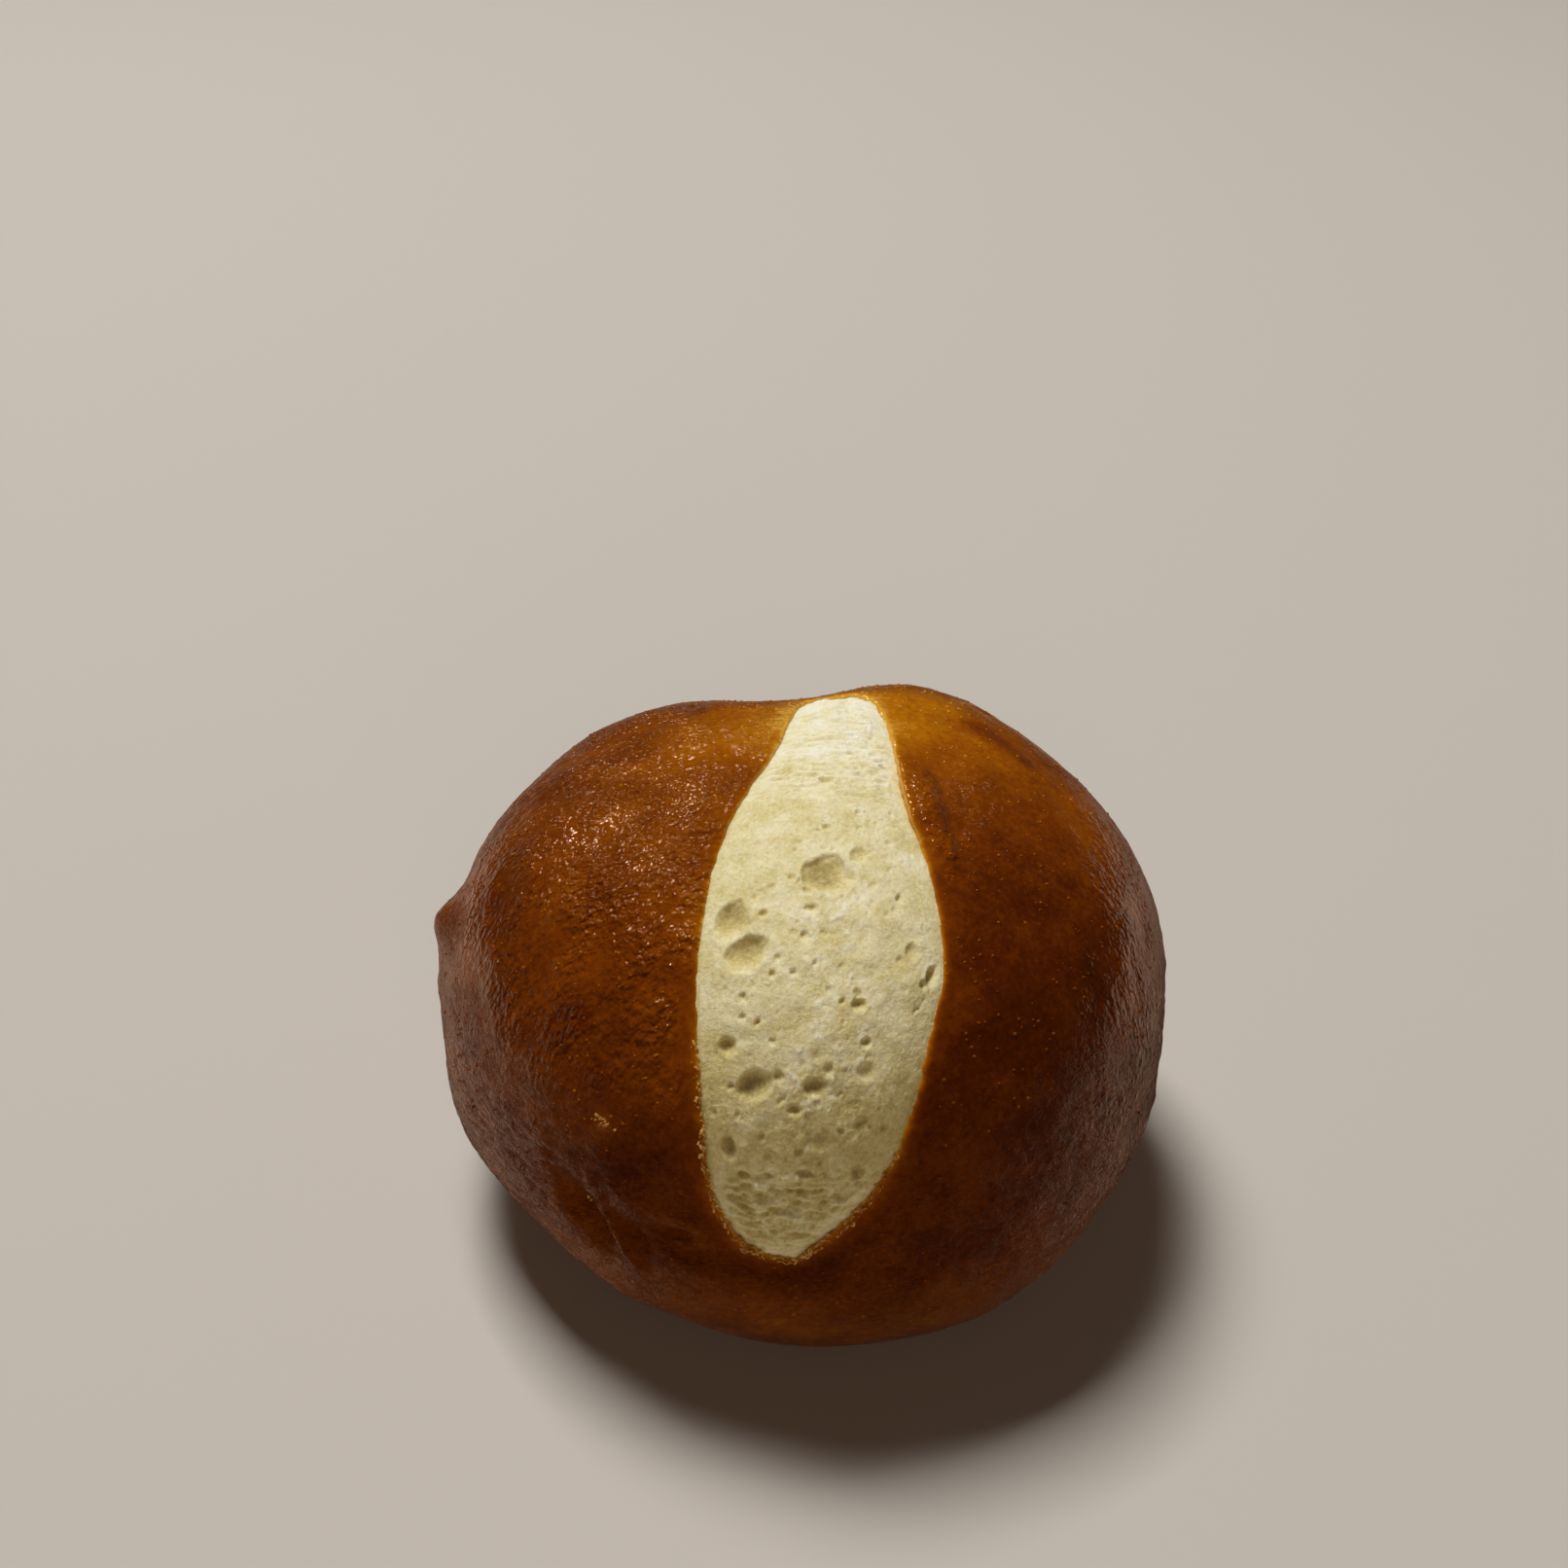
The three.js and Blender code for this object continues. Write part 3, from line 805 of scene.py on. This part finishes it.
def bare_crumb():
    """Torn wheat crumb: dry, matt and cream, with a fine open grain that the light sinks into a
    little. The olive-brown inside the gas cells is painted shade."""
    material, tree = new_material("torn_wheat_crumb")
    place = add_node(tree, "ShaderNodeTexCoord").outputs["Object"]
    # Its tan is the crumb's own colour with painted shade and painted highlight in it
    tan = add_node(tree, "ShaderNodeAttribute", attribute_name="tan").outputs["Fac"]
    cloud = add_node(tree, "ShaderNodeTexNoise", {
        "Vector": place, "Scale": per_mm(3.0), "Detail": 5.0, "Roughness": 0.7})
    grit = add_node(tree, "ShaderNodeTexNoise", {
        "Vector": place, "Scale": per_mm(0.35), "Detail": 3.0, "Roughness": 0.7})
    tone = add_node(tree, "ShaderNodeMath", {0: cloud, 1: 0.9, 2: tan}, operation="MULTIPLY_ADD")
    tone = add_node(tree, "ShaderNodeMath", {0: grit, 1: 0.7, 2: tone}, operation="MULTIPLY_ADD")
    tone = add_node(tree, "ShaderNodeMath", {0: tone, 1: 0.8}, operation="SUBTRACT")
    cream = add_node(tree, "ShaderNodeValToRGB", {"Fac": tone})
    set_stops(cream, ((0.0, "#fbf7e6"), (0.35, "#efe5b9"), (0.65, "#d9c785"), (1.0, "#a79464")))
    bumps = add_node(tree, "ShaderNodeBump", {
        "Height": grit, "Strength": 0.8, "Distance": 0.16 * MM})
    body = add_node(tree, "ShaderNodeBsdfPrincipled", {
        "Base Color": cream, "Roughness": 0.9, "Specular IOR Level": 0.25,
        "Subsurface Weight": 0.25, "Subsurface Radius": (0.9, 0.7, 0.4),
        "Subsurface Scale": 0.9 * MM, "Normal": bumps})
    add_node(tree, "ShaderNodeOutputMaterial", {"Surface": body})
    return material


def torn_flakes():
    """Crisp shreds of torn crust: dry, thin and tan to amber, a little glossy on their edges."""
    material, tree = new_material("torn_crust_flakes")
    place = add_node(tree, "ShaderNodeTexCoord").outputs["Object"]
    cloud = add_node(tree, "ShaderNodeTexNoise", {
        "Vector": place, "Scale": per_mm(0.8), "Detail": 3.0, "Roughness": 0.6})
    amber = add_node(tree, "ShaderNodeValToRGB", {"Fac": cloud})
    set_stops(amber, ((0.3, "#8f5510"), (0.48, "#c98d35"), (0.6, "#e3ba66"), (0.72, "#f3dfa8")))
    skin = add_node(tree, "ShaderNodeBsdfPrincipled", {
        "Base Color": amber, "Roughness": 0.45, "IOR": 1.5})
    add_node(tree, "ShaderNodeOutputMaterial", {"Surface": skin})
    return material


def pale_floor():
    """The pale, matt board that the bun lies on."""
    material, tree = new_material("matt_white_board")
    paint = add_node(tree, "ShaderNodeBsdfPrincipled", {
        "Base Color": linear("#c8c0b6"), "Roughness": 0.9, "Specular IOR Level": 0.2})
    add_node(tree, "ShaderNodeOutputMaterial", {"Surface": paint})
    return material


# ---------------------------------------------------------------------------- the crust's colour

# Amber, less browned places and darker ones: azimuth, elevation, spread, strength
PALE_PATCHES = (
    (100, 76, 7, 0.25),
    (40, 62, 12, 0.27),
    (150, 70, 6, 0.1),
    (-2, 44, 5, 0.14),
    (-35, 60, 5, 0.1),
    (-72, 22, 5, 0.09),
    (-125.5, 0.5, 1.5, 0.42),     # the torn bottom of the groove left of the front
    (-122.5, -4, 1.6, 0.36),
    (-108, 2.6, 1.6, 0.3),        # and of the short one under the score
    (-104, 3.2, 1.3, 0.26),
    (-121, 18.5, 0.8, 0.3),       # a small scuffed place
)
DARK_PATCHES = (
    (-48, 34, 15, 0.12),
    (-30, 56, 12, 0.16),
    (32, 55.5, 1.6, 0.3),     # darker places on the right shoulder
    (24.5, 52.5, 1.8, 0.34),
    (17, 50, 1.2, 0.24),
)

# How far the crust browned, from 0 to 1, and the heights at which one part goes over into the next
CROWN_BAKE = 0.56
CROWN_HEIGHTS = (34, 46)
FLANK_BAKE = 0.73
FOOT_BAKE = 0.49
FOOT_HEIGHTS = (-19, -8)        # negated
UNDERSIDE_BAKE = 0.25
UNDERSIDE_HEIGHTS = (0.0, 1.5)
RIDGE_BAKE = 0.04
# The blisters are painted paler than the crust round them: partly their own paler skin, partly painted
# highlight
PIMPLE_PALENESS_AND_HIGHLIGHT = 0.26

# The torn lips are paler in a narrow rim, wider where they frayed, and in a soft band beside it
RIM_PALER = 0.44
RIM_WIDTH = 0.16
FRAYED_PALER = 0.14
FRAYED_WIDTH = 0.2
FRAYED_TILTS = (48, 62)         # negated
BAND_PALER = 0.06
BACK_BAND_PALER = 0.2
BACK_BAND_TILTS = (0, 16)
BAND_WIDTH = 1.5

# How rough the skin is: pitted like a peel above, most of all on the left, and wrinkled below
UPPER_HEIGHTS = (26, 38)
LEFT_SIDES = (-6, 2)            # negated
FAR_RIGHT_SIDES = (22, 30)
SMOOTH_RIM = (0.8, 2.4)         # gaps to the low lips over which roughness sets in
SMOOTH_RIM_TILTS = (-50, -38)
CLUSTER_SIZE = 4.0              # how far apart the rough clusters lie, and how strong they are
CLUSTER_STRENGTH = 1.1
CLUSTER_RANGE = (0.3, 2)
PEEL = 0.22
UPPER_LEFT_PEEL = 0.96
UPPER_LESS_PEEL = 0.04
FAR_RIGHT_PEEL = 0.75
RIDGE_PEEL = 0.9
RIDGE_PEEL_SPREAD = 2.5
WRINKLED_FROM = (1, 6)
WRINKLED_TO = (18, 30)
UPPER_LESS_WRINKLED = 0.6
MIDDLE_LESS_WRINKLED = 0.4
PIMPLED_FROM = (6, 14)
LEAST_PIMPLED = 0.3
FAR_RIGHT_LESS_PIMPLED = 0.8


def bake_of(points, lip_gap):
    """How far the crust has browned at each point."""
    height = points[:, 2]
    tilt = tilt_of(points)
    frayed = ease(-tilt, *FRAYED_TILTS)
    rim = np.exp(-np.maximum(lip_gap, 0) / (RIM_WIDTH + FRAYED_WIDTH * frayed))
    band = BAND_PALER + BACK_BAND_PALER * ease(tilt, *BACK_BAND_TILTS)
    torn = (RIM_PALER + FRAYED_PALER * frayed) * rim + band * np.exp(-np.abs(lip_gap) / BAND_WIDTH)
    bake = FLANK_BAKE + (CROWN_BAKE - FLANK_BAKE) * ease(height, *CROWN_HEIGHTS)
    bake = bake + (FOOT_BAKE - FLANK_BAKE) * ease(-height, *FOOT_HEIGHTS)
    bake = bake - patches(points, PALE_PATCHES) + patches(points, DARK_PATCHES) - torn
    bake = bake + (UNDERSIDE_BAKE - bake) * (1 - ease(height, *UNDERSIDE_HEIGHTS))
    return np.clip(bake + RIDGE_BAKE * ridge_share(points, lip_gap), -0.2, 1)


def crust_fields(points, lip_gap):
    """How far the crust has browned, and how much it is pitted, wrinkled or pimpled, at each
    point."""
    height = points[:, 2]
    above = ease(height, *UPPER_HEIGHTS)
    left = ease(-points[:, 0], *LEFT_SIDES)
    far_right = ease(points[:, 0], *FAR_RIGHT_SIDES)
    ridge = ridge_share(points, lip_gap)
    rough = np.maximum(ease(lip_gap, *SMOOTH_RIM), ease(tilt_of(points), *SMOOTH_RIM_TILTS))
    clusters = np.clip(1.0 + CLUSTER_STRENGTH * grain(points, CLUSTER_SIZE, 2), *CLUSTER_RANGE)

    peel = PEEL + (UPPER_LEFT_PEEL * left - UPPER_LESS_PEEL) * above + FAR_RIGHT_PEEL * far_right
    peel = peel * clusters * rough * ease(height, *UNDERSIDE_HEIGHTS)
    peel = peel + RIDGE_PEEL * np.clip(RIDGE_PEEL_SPREAD * ridge, 0, 1)
    wrinkle = 1 - UPPER_LESS_WRINKLED * above - MIDDLE_LESS_WRINKLED * ease(height, *WRINKLED_TO)
    wrinkle = wrinkle * rough * ease(height, *WRINKLED_FROM)
    pimples = LEAST_PIMPLED + (1 - LEAST_PIMPLED) * above
    pimples = pimples * np.clip(clusters, 0, 1) * ease(height, *PIMPLED_FROM)
    pimples = pimples * rough * (1 - FAR_RIGHT_LESS_PIMPLED * far_right)
    return {
        "bake": bake_of(points, lip_gap),
        "peel": peel,
        "wrinkle": wrinkle,
        "pimples": pimples,
    }


# ---------------------------------------------------------------------------- scattered detail

PIMPLE_DENSITY = 420000.0       # to the square metre, where they are thickest
PIMPLE_RADIUS = (0.06, 0.2)
PIMPLE_BREADTH = 0.8            # as shares of the radius
PIMPLE_HEIGHT = 0.5
PIMPLE_RAGGEDNESS = 0.1
PIMPLE_SEED = 5
FLAKE_COUNT = 800               # along a whole lip, though only the low end keeps them
FLAKED_LIPS = ((1, -54), (2, -68))      # the lip, and the highest tilt that keeps flakes
FLAKE_CHANCE = 0.25             # the least share that is kept; at the last tilt all are
FLAKES_THICKEST = 84
FLAKE_GAPS = (-0.1, 0.6, 0.0)   # outwards from the lip: least, most, likeliest
FLAKE_RADIUS = (0.1, 0.36)
FLAKE_BREADTH = 0.4             # as shares of the radius
FLAKE_HEIGHT = 0.25
FLAKE_RAGGEDNESS = 0.3
FLAKE_LEAN = 0.6                # how far they turn out of line, in radians
FLAKE_SEED = 3
FLAKE_PLACE_SEED = 8
BALL_SEGMENTS = 8
BALL_RINGS = 5
SHAKE_SIZE = 0.3
SCUFFS = (                      # azimuth, elevation, flakes, spread
    (-121, 18.5, 14, 0.5),
    (-125, 0, 8, 0.4),
)


def new_tree(name, sizes):
    """A geometry tree with a named input for each size, and its input sockets."""
    tree = bpy.data.node_groups.new(name, "GeometryNodeTree")
    tree.interface.new_socket("Geometry", in_out="INPUT", socket_type="NodeSocketGeometry")
    tree.interface.new_socket("Geometry", in_out="OUTPUT", socket_type="NodeSocketGeometry")
    for label in (*sizes, "Smallest", "Largest", "Breadth", "Height", "Raggedness"):
        tree.interface.new_socket(label, in_out="INPUT", socket_type="NodeSocketFloat")
    tree.interface.new_socket("Seed", in_out="INPUT", socket_type="NodeSocketInt")
    tree.interface.new_socket("Material", in_out="INPUT", socket_type="NodeSocketMaterial")
    return tree, add_node(tree, "NodeGroupInput").outputs


def strew(tree, start, points, rotation):
    """Ends a tree: a flattened ball of random size on each point, all made plain mesh."""
    ball = add_node(tree, "GeometryNodeMeshUVSphere", {
        "Radius": 1.0, "Segments": BALL_SEGMENTS, "Rings": BALL_RINGS})
    squash = add_node(tree, "ShaderNodeCombineXYZ", {
        "X": 1.0, "Y": start["Breadth"], "Z": start["Height"]})
    chip = add_node(tree, "GeometryNodeTransform", {"Geometry": ball, "Scale": squash})
    size = add_node(tree, "FunctionNodeRandomValue", {
        2: start["Smallest"], 3: start["Largest"], 8: start["Seed"]})
    placed = add_node(tree, "GeometryNodeInstanceOnPoints", {
        "Points": points, "Instance": chip, "Rotation": rotation, "Scale": size.outputs[1]})
    solid = add_node(tree, "GeometryNodeRealizeInstances", {"Geometry": placed})
    shake = add_node(tree, "ShaderNodeTexNoise", {"Scale": per_mm(SHAKE_SIZE), "Detail": 1.0})
    shake = add_node(tree, "ShaderNodeVectorMath", {
        0: shake.outputs["Color"], 1: (0.5, 0.5, 0.5)}, operation="SUBTRACT")
    shake = add_node(tree, "ShaderNodeVectorMath", {
        0: shake, "Scale": start["Raggedness"]}, operation="SCALE")
    ragged = add_node(tree, "GeometryNodeSetPosition", {"Geometry": solid, "Offset": shake})
    smooth = add_node(tree, "GeometryNodeSetShadeSmooth", {"Geometry": ragged})
    dressed = add_node(tree, "GeometryNodeSetMaterial", {
        "Geometry": smooth, "Material": start["Material"]})
    add_node(tree, "NodeGroupOutput", {"Geometry": dressed})


def pimple_tree():
    """Low domes strewn over a skin, thickest where its attribute says."""
    tree, start = new_tree("pimples", ("Density",))
    share = add_node(tree, "GeometryNodeInputNamedAttribute", {"Name": "pimples"})
    density = add_node(tree, "ShaderNodeMath", {
        0: start["Density"], 1: share.outputs["Attribute"]}, operation="MULTIPLY")
    spread = add_node(tree, "GeometryNodeDistributePointsOnFaces", {
        "Mesh": start["Geometry"], "Density": density, "Seed": start["Seed"]})
    strew(tree, start, spread.outputs["Points"], spread.outputs["Rotation"])
    return tree


def flake_tree():
    """Thin chips, one on each point, lying roughly in the skin and along the lip."""
    tree, start = new_tree("flakes", ("Lean",))
    points = add_node(tree, "GeometryNodeMeshToPoints", {"Mesh": start["Geometry"]})
    outwards = add_node(tree, "GeometryNodeInputNamedAttribute", {"Name": "outwards"},
                        data_type="FLOAT_VECTOR")
    flat = add_node(tree, "FunctionNodeAlignRotationToVector", {
        "Vector": outwards.outputs["Attribute"]}, axis="Z")
    onwards = add_node(tree, "GeometryNodeInputNamedAttribute", {"Name": "onwards"},
                       data_type="FLOAT_VECTOR")
    along = add_node(tree, "FunctionNodeAlignRotationToVector", {
        "Rotation": flat.outputs["Rotation"], "Vector": onwards.outputs["Attribute"]},
        axis="X", pivot_axis="Z")
    back = add_node(tree, "ShaderNodeMath", {0: start["Lean"], 1: -1.0}, operation="MULTIPLY")
    least = add_node(tree, "ShaderNodeCombineXYZ", {"X": back, "Y": back, "Z": back})
    most = add_node(tree, "ShaderNodeCombineXYZ", {
        "X": start["Lean"], "Y": start["Lean"], "Z": start["Lean"]})
    turn = add_node(tree, "FunctionNodeRandomValue", {
        0: least, 1: most, 8: start["Seed"]}, data_type="FLOAT_VECTOR")
    spun = add_node(tree, "FunctionNodeRotateRotation", {
        "Rotation": along.outputs["Rotation"], "Rotate By": turn}, rotation_space="LOCAL")
    strew(tree, start, points.outputs["Points"], spun.outputs["Rotation"])
    return tree


def grow(name, mesh, tree, sizes):
    """What a geometry tree makes of a mesh, as a plain piece."""
    base = add_object(name + "_base", mesh)
    modifier = base.modifiers.new("grow", "NODES")
    modifier.node_group = tree
    for socket in tree.interface.items_tree:
        if socket.name in sizes:
            modifier[socket.identifier] = sizes[socket.name]
    graph = bpy.context.evaluated_depsgraph_get()
    grown = bpy.data.meshes.new_from_object(base.evaluated_get(graph))
    bpy.data.objects.remove(base)
    return add_object(name, grown)


def flake_places():
    """Points along the low ends of both lips and on the scuffed places, each with the direction
    away from the bun's heart and the way along the lip."""
    draw = random.Random(FLAKE_PLACE_SEED)
    places = []
    for azimuth, elevation, count, spread in SCUFFS:
        centre = dome_points(rays_towards(azimuth, elevation))
        strewn = [[draw.gauss(0, spread), draw.gauss(0, spread), draw.gauss(0, spread / 3)]
                  for _ in range(count)]
        rays = unit(centre + np.array(strewn) - HEART)
        lift = crust_lift(dome_points(rays), np.full(count, FAR_FROM_LIP))
        places.append((points_on_rays(rays, dome_reach(rays) + lift), rays, rays[:, [1, 2, 0]]))
    for column, highest in FLAKED_LIPS:
        gap = np.array([draw.triangular(*FLAKE_GAPS) for _ in range(FLAKE_COUNT)])
        side, tilt = lip_run(column, FLAKE_COUNT, gap)
        chance = FLAKE_CHANCE + ease(-tilt, -highest, FLAKES_THICKEST)
        keep = np.array([draw.random() for _ in range(FLAKE_COUNT)]) < chance
        keep &= tilt < highest
        rays = crown_rays(side[keep], tilt[keep])
        lift = crust_lift(dome_points(rays), np.maximum(gap[keep], 0))
        even = dome_points(crown_rays(*lip_run(column, FLAKE_COUNT)))
        onwards = np.gradient(even, axis=0)[keep]
        places.append((points_on_rays(rays, dome_reach(rays) + lift), rays, onwards))
    points, outwards, onwards = (np.vstack(parts) for parts in zip(*places))
    mesh = bpy.data.meshes.new("flake_places")
    mesh.from_pydata((points * MM).tolist(), [], [])
    for name, vectors in (("outwards", outwards), ("onwards", onwards)):
        layer = mesh.attributes.new(name, "FLOAT_VECTOR", "POINT")
        layer.data.foreach_set("vector", vectors.astype(np.float32).ravel())
    return mesh


# ---------------------------------------------------------------------------- the stage

FRAME_PIXELS = 1612
FOCAL_PIXELS = 1995
CAMERA_ELEVATION = 40.0
CAMERA_DISTANCE = 190.0         # from a point in the middle of the bun
CAMERA_SIGHT = (0.5, 0.0, 22.0)
CAMERA_PAN = -0.942             # turned away from that point, so that it sits low in the frame
CAMERA_LIFT = 5.704
CAMERA_ROLL = -0.497

# In metres and, for the glow of the room, in Blender's own strengths
FLOOR_REACH = 1.5
SKY_GLOW = 0.03
LEFT_GLOW = 0.72
RIGHT_GLOW = 0.6
BACK_GLOW = 0.3

# Square lamps: the way to each, its distance and breadth in metres, watts, colour, what it gives
LAMPS = {
    "overhead": ((-0.2, 0.28, 0.93), 1.6, 0.5, 24.0, "#ffffff", "light"),
    "left_window": ((-0.4, 0.67, 0.63), 1.2, 0.15, 2.8, "#ffe6d6", "gloss"),
    "right_window": ((0.38, 0.71, 0.59), 1.2, 0.05, 0.03, "#fff0e6", "gloss"),
    "front_fill": ((0.1, -0.85, 0.35), 1.6, 0.8, 3.2, "#ffe8d0", "light"),
}
LAMPS_MIDDLE = Vector((0, 0, 0.02))


def add_camera():
    """The photo's camera, in front of the bun and above it."""
    elevation = math.radians(CAMERA_ELEVATION)
    back = Vector((0, -math.cos(elevation), math.sin(elevation)))
    pitch = math.radians(CAMERA_ELEVATION - CAMERA_LIFT)
    pan = math.radians(CAMERA_PAN)
    level = math.cos(pitch)
    ahead = Vector((math.sin(pan) * level, math.cos(pan) * level, -math.sin(pitch)))
    roll = Matrix.Rotation(math.radians(-CAMERA_ROLL), 3, "Z")
    turn = ahead.to_track_quat("-Z", "Y").to_matrix() @ roll
    place = (Vector(CAMERA_SIGHT) + back * CAMERA_DISTANCE) * MM
    data = bpy.data.cameras.new("camera")
    data.lens = data.sensor_width * FOCAL_PIXELS / FRAME_PIXELS
    data.clip_start = 0.01
    camera = bpy.data.objects.new("camera", data)
    camera.matrix_world = Matrix.Translation(place) @ turn.to_4x4()
    bpy.context.scene.collection.objects.link(camera)
    bpy.context.scene.camera = camera


def add_softbox(name, direction, distance, size, power, colour, gives):
    """A square area light that faces the bun. It gives either light or only gloss, in which it is
    seen reflected."""
    data = bpy.data.lights.new(name, "AREA")
    data.shape = "SQUARE"
    data.size = size
    data.energy = power
    data.color = linear(colour)[:3]
    lamp = bpy.data.objects.new(name, data)
    towards = Vector(direction).normalized()
    lamp.matrix_world = (
        Matrix.Translation(towards * distance + LAMPS_MIDDLE)
        @ (-towards).to_track_quat("-Z", "Y").to_matrix().to_4x4())
    lamp.visible_glossy = gives == "gloss"
    lamp.visible_diffuse = gives == "light"
    lamp.visible_camera = False
    bpy.context.scene.collection.objects.link(lamp)


def add_stage():
    """The floor, which doesn't show in the gloss, the lamps and the room's glow."""
    mesh = bpy.data.meshes.new("floor")
    corners = [(x * FLOOR_REACH, y * FLOOR_REACH, 0) for x, y in ((-1, -1), (1, -1), (1, 1), (-1, 1))]
    mesh.from_pydata(corners, [], [(0, 1, 2, 3)])
    mesh.materials.append(pale_floor())
    floor = add_object("floor", mesh)
    floor.visible_glossy = False
    for name, values in LAMPS.items():
        add_softbox(name, *values)
    add_surroundings()
    bpy.context.scene.view_settings.view_transform = "Standard"


def add_surroundings():
    """A dim even room, with a pale glow low down at both sides behind the bun, where only its
    gloss sees it."""
    world = bpy.data.worlds.new("studio")
    world.use_nodes = True
    tree = world.node_tree
    tree.nodes.clear()
    way = add_node(tree, "ShaderNodeTexCoord").outputs["Generated"]
    way = add_node(tree, "ShaderNodeSeparateXYZ", {"Vector": way}).outputs
    left = add_node(tree, "ShaderNodeMapRange", {
        "Value": way["X"], "From Min": -0.25, "From Max": -0.5, "To Max": LEFT_GLOW})
    back = add_node(tree, "ShaderNodeMapRange", {
        "Value": way["Y"], "From Min": 0.7, "From Max": 0.9, "To Max": BACK_GLOW})
    low = add_node(tree, "ShaderNodeMapRange", {
        "Value": way["Z"], "From Min": -0.2, "From Max": -0.5})
    glow = add_node(tree, "ShaderNodeMath", {0: left, 1: back}, operation="ADD")
    glow = add_node(tree, "ShaderNodeMath", {0: glow, 1: low}, operation="MULTIPLY")
    right = add_node(tree, "ShaderNodeMapRange", {
        "Value": way["X"], "From Min": 0.35, "From Max": 0.6, "To Max": RIGHT_GLOW})
    level = add_node(tree, "ShaderNodeMapRange", {
        "Value": way["Z"], "From Min": 0.05, "From Max": -0.2})
    glow = add_node(tree, "ShaderNodeMath", {0: right, 1: level, 2: glow}, operation="MULTIPLY_ADD")
    behind = add_node(tree, "ShaderNodeMapRange", {
        "Value": way["Y"], "From Min": 0.0, "From Max": 0.35})
    glow = add_node(tree, "ShaderNodeMath", {0: glow, 1: behind, 2: SKY_GLOW},
                    operation="MULTIPLY_ADD")
    sky = add_node(tree, "ShaderNodeBackground", {"Color": linear("#ffd2b4"), "Strength": glow})
    add_node(tree, "ShaderNodeOutputWorld", {"Surface": sky})
    bpy.context.scene.world = world


# ---------------------------------------------------------------------------- the bun

def build_bun():
    """The bun's four pieces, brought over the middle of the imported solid, which they stand for."""
    mesh, points = crust_mesh()
    middle = (points.min(axis=0) + points.max(axis=0)) / 2
    centring = Matrix.Translation(Vector((-middle[0], -middle[1], 0)) * MM)
    mesh.transform(centring)
    mesh.materials.append(browned_crust("browned_lye_crust", 0.0))
    crust = add_object("bun_crust", mesh)
    # The blisters get the crust's material painted paler, partly their own paler skin and partly
    # painted highlight
    pimples = grow("crust_pimples", mesh, pimple_tree(), {
        "Density": PIMPLE_DENSITY, "Smallest": PIMPLE_RADIUS[0] * MM,
        "Largest": PIMPLE_RADIUS[1] * MM, "Breadth": PIMPLE_BREADTH, "Height": PIMPLE_HEIGHT,
        "Raggedness": PIMPLE_RAGGEDNESS * MM, "Seed": PIMPLE_SEED,
        "Material": browned_crust("blistered_lye_crust_painted_highlight", PIMPLE_PALENESS_AND_HIGHLIGHT)})
    mesh = crumb_mesh()
    mesh.transform(centring)
    mesh.materials.append(bare_crumb())
    crumb = add_object("bun_crumb", mesh)
    mesh = flake_places()
    mesh.transform(centring)
    flakes = grow("lip_flakes", mesh, flake_tree(), {
        "Lean": FLAKE_LEAN, "Smallest": FLAKE_RADIUS[0] * MM, "Largest": FLAKE_RADIUS[1] * MM,
        "Breadth": FLAKE_BREADTH, "Height": FLAKE_HEIGHT,
        "Raggedness": FLAKE_RAGGEDNESS * MM, "Seed": FLAKE_SEED, "Material": torn_flakes()})
    for piece in (crust, pimples, crumb, flakes):
        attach(piece, "root")
    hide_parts("bun")


add_camera()
add_stage()
build_bun()
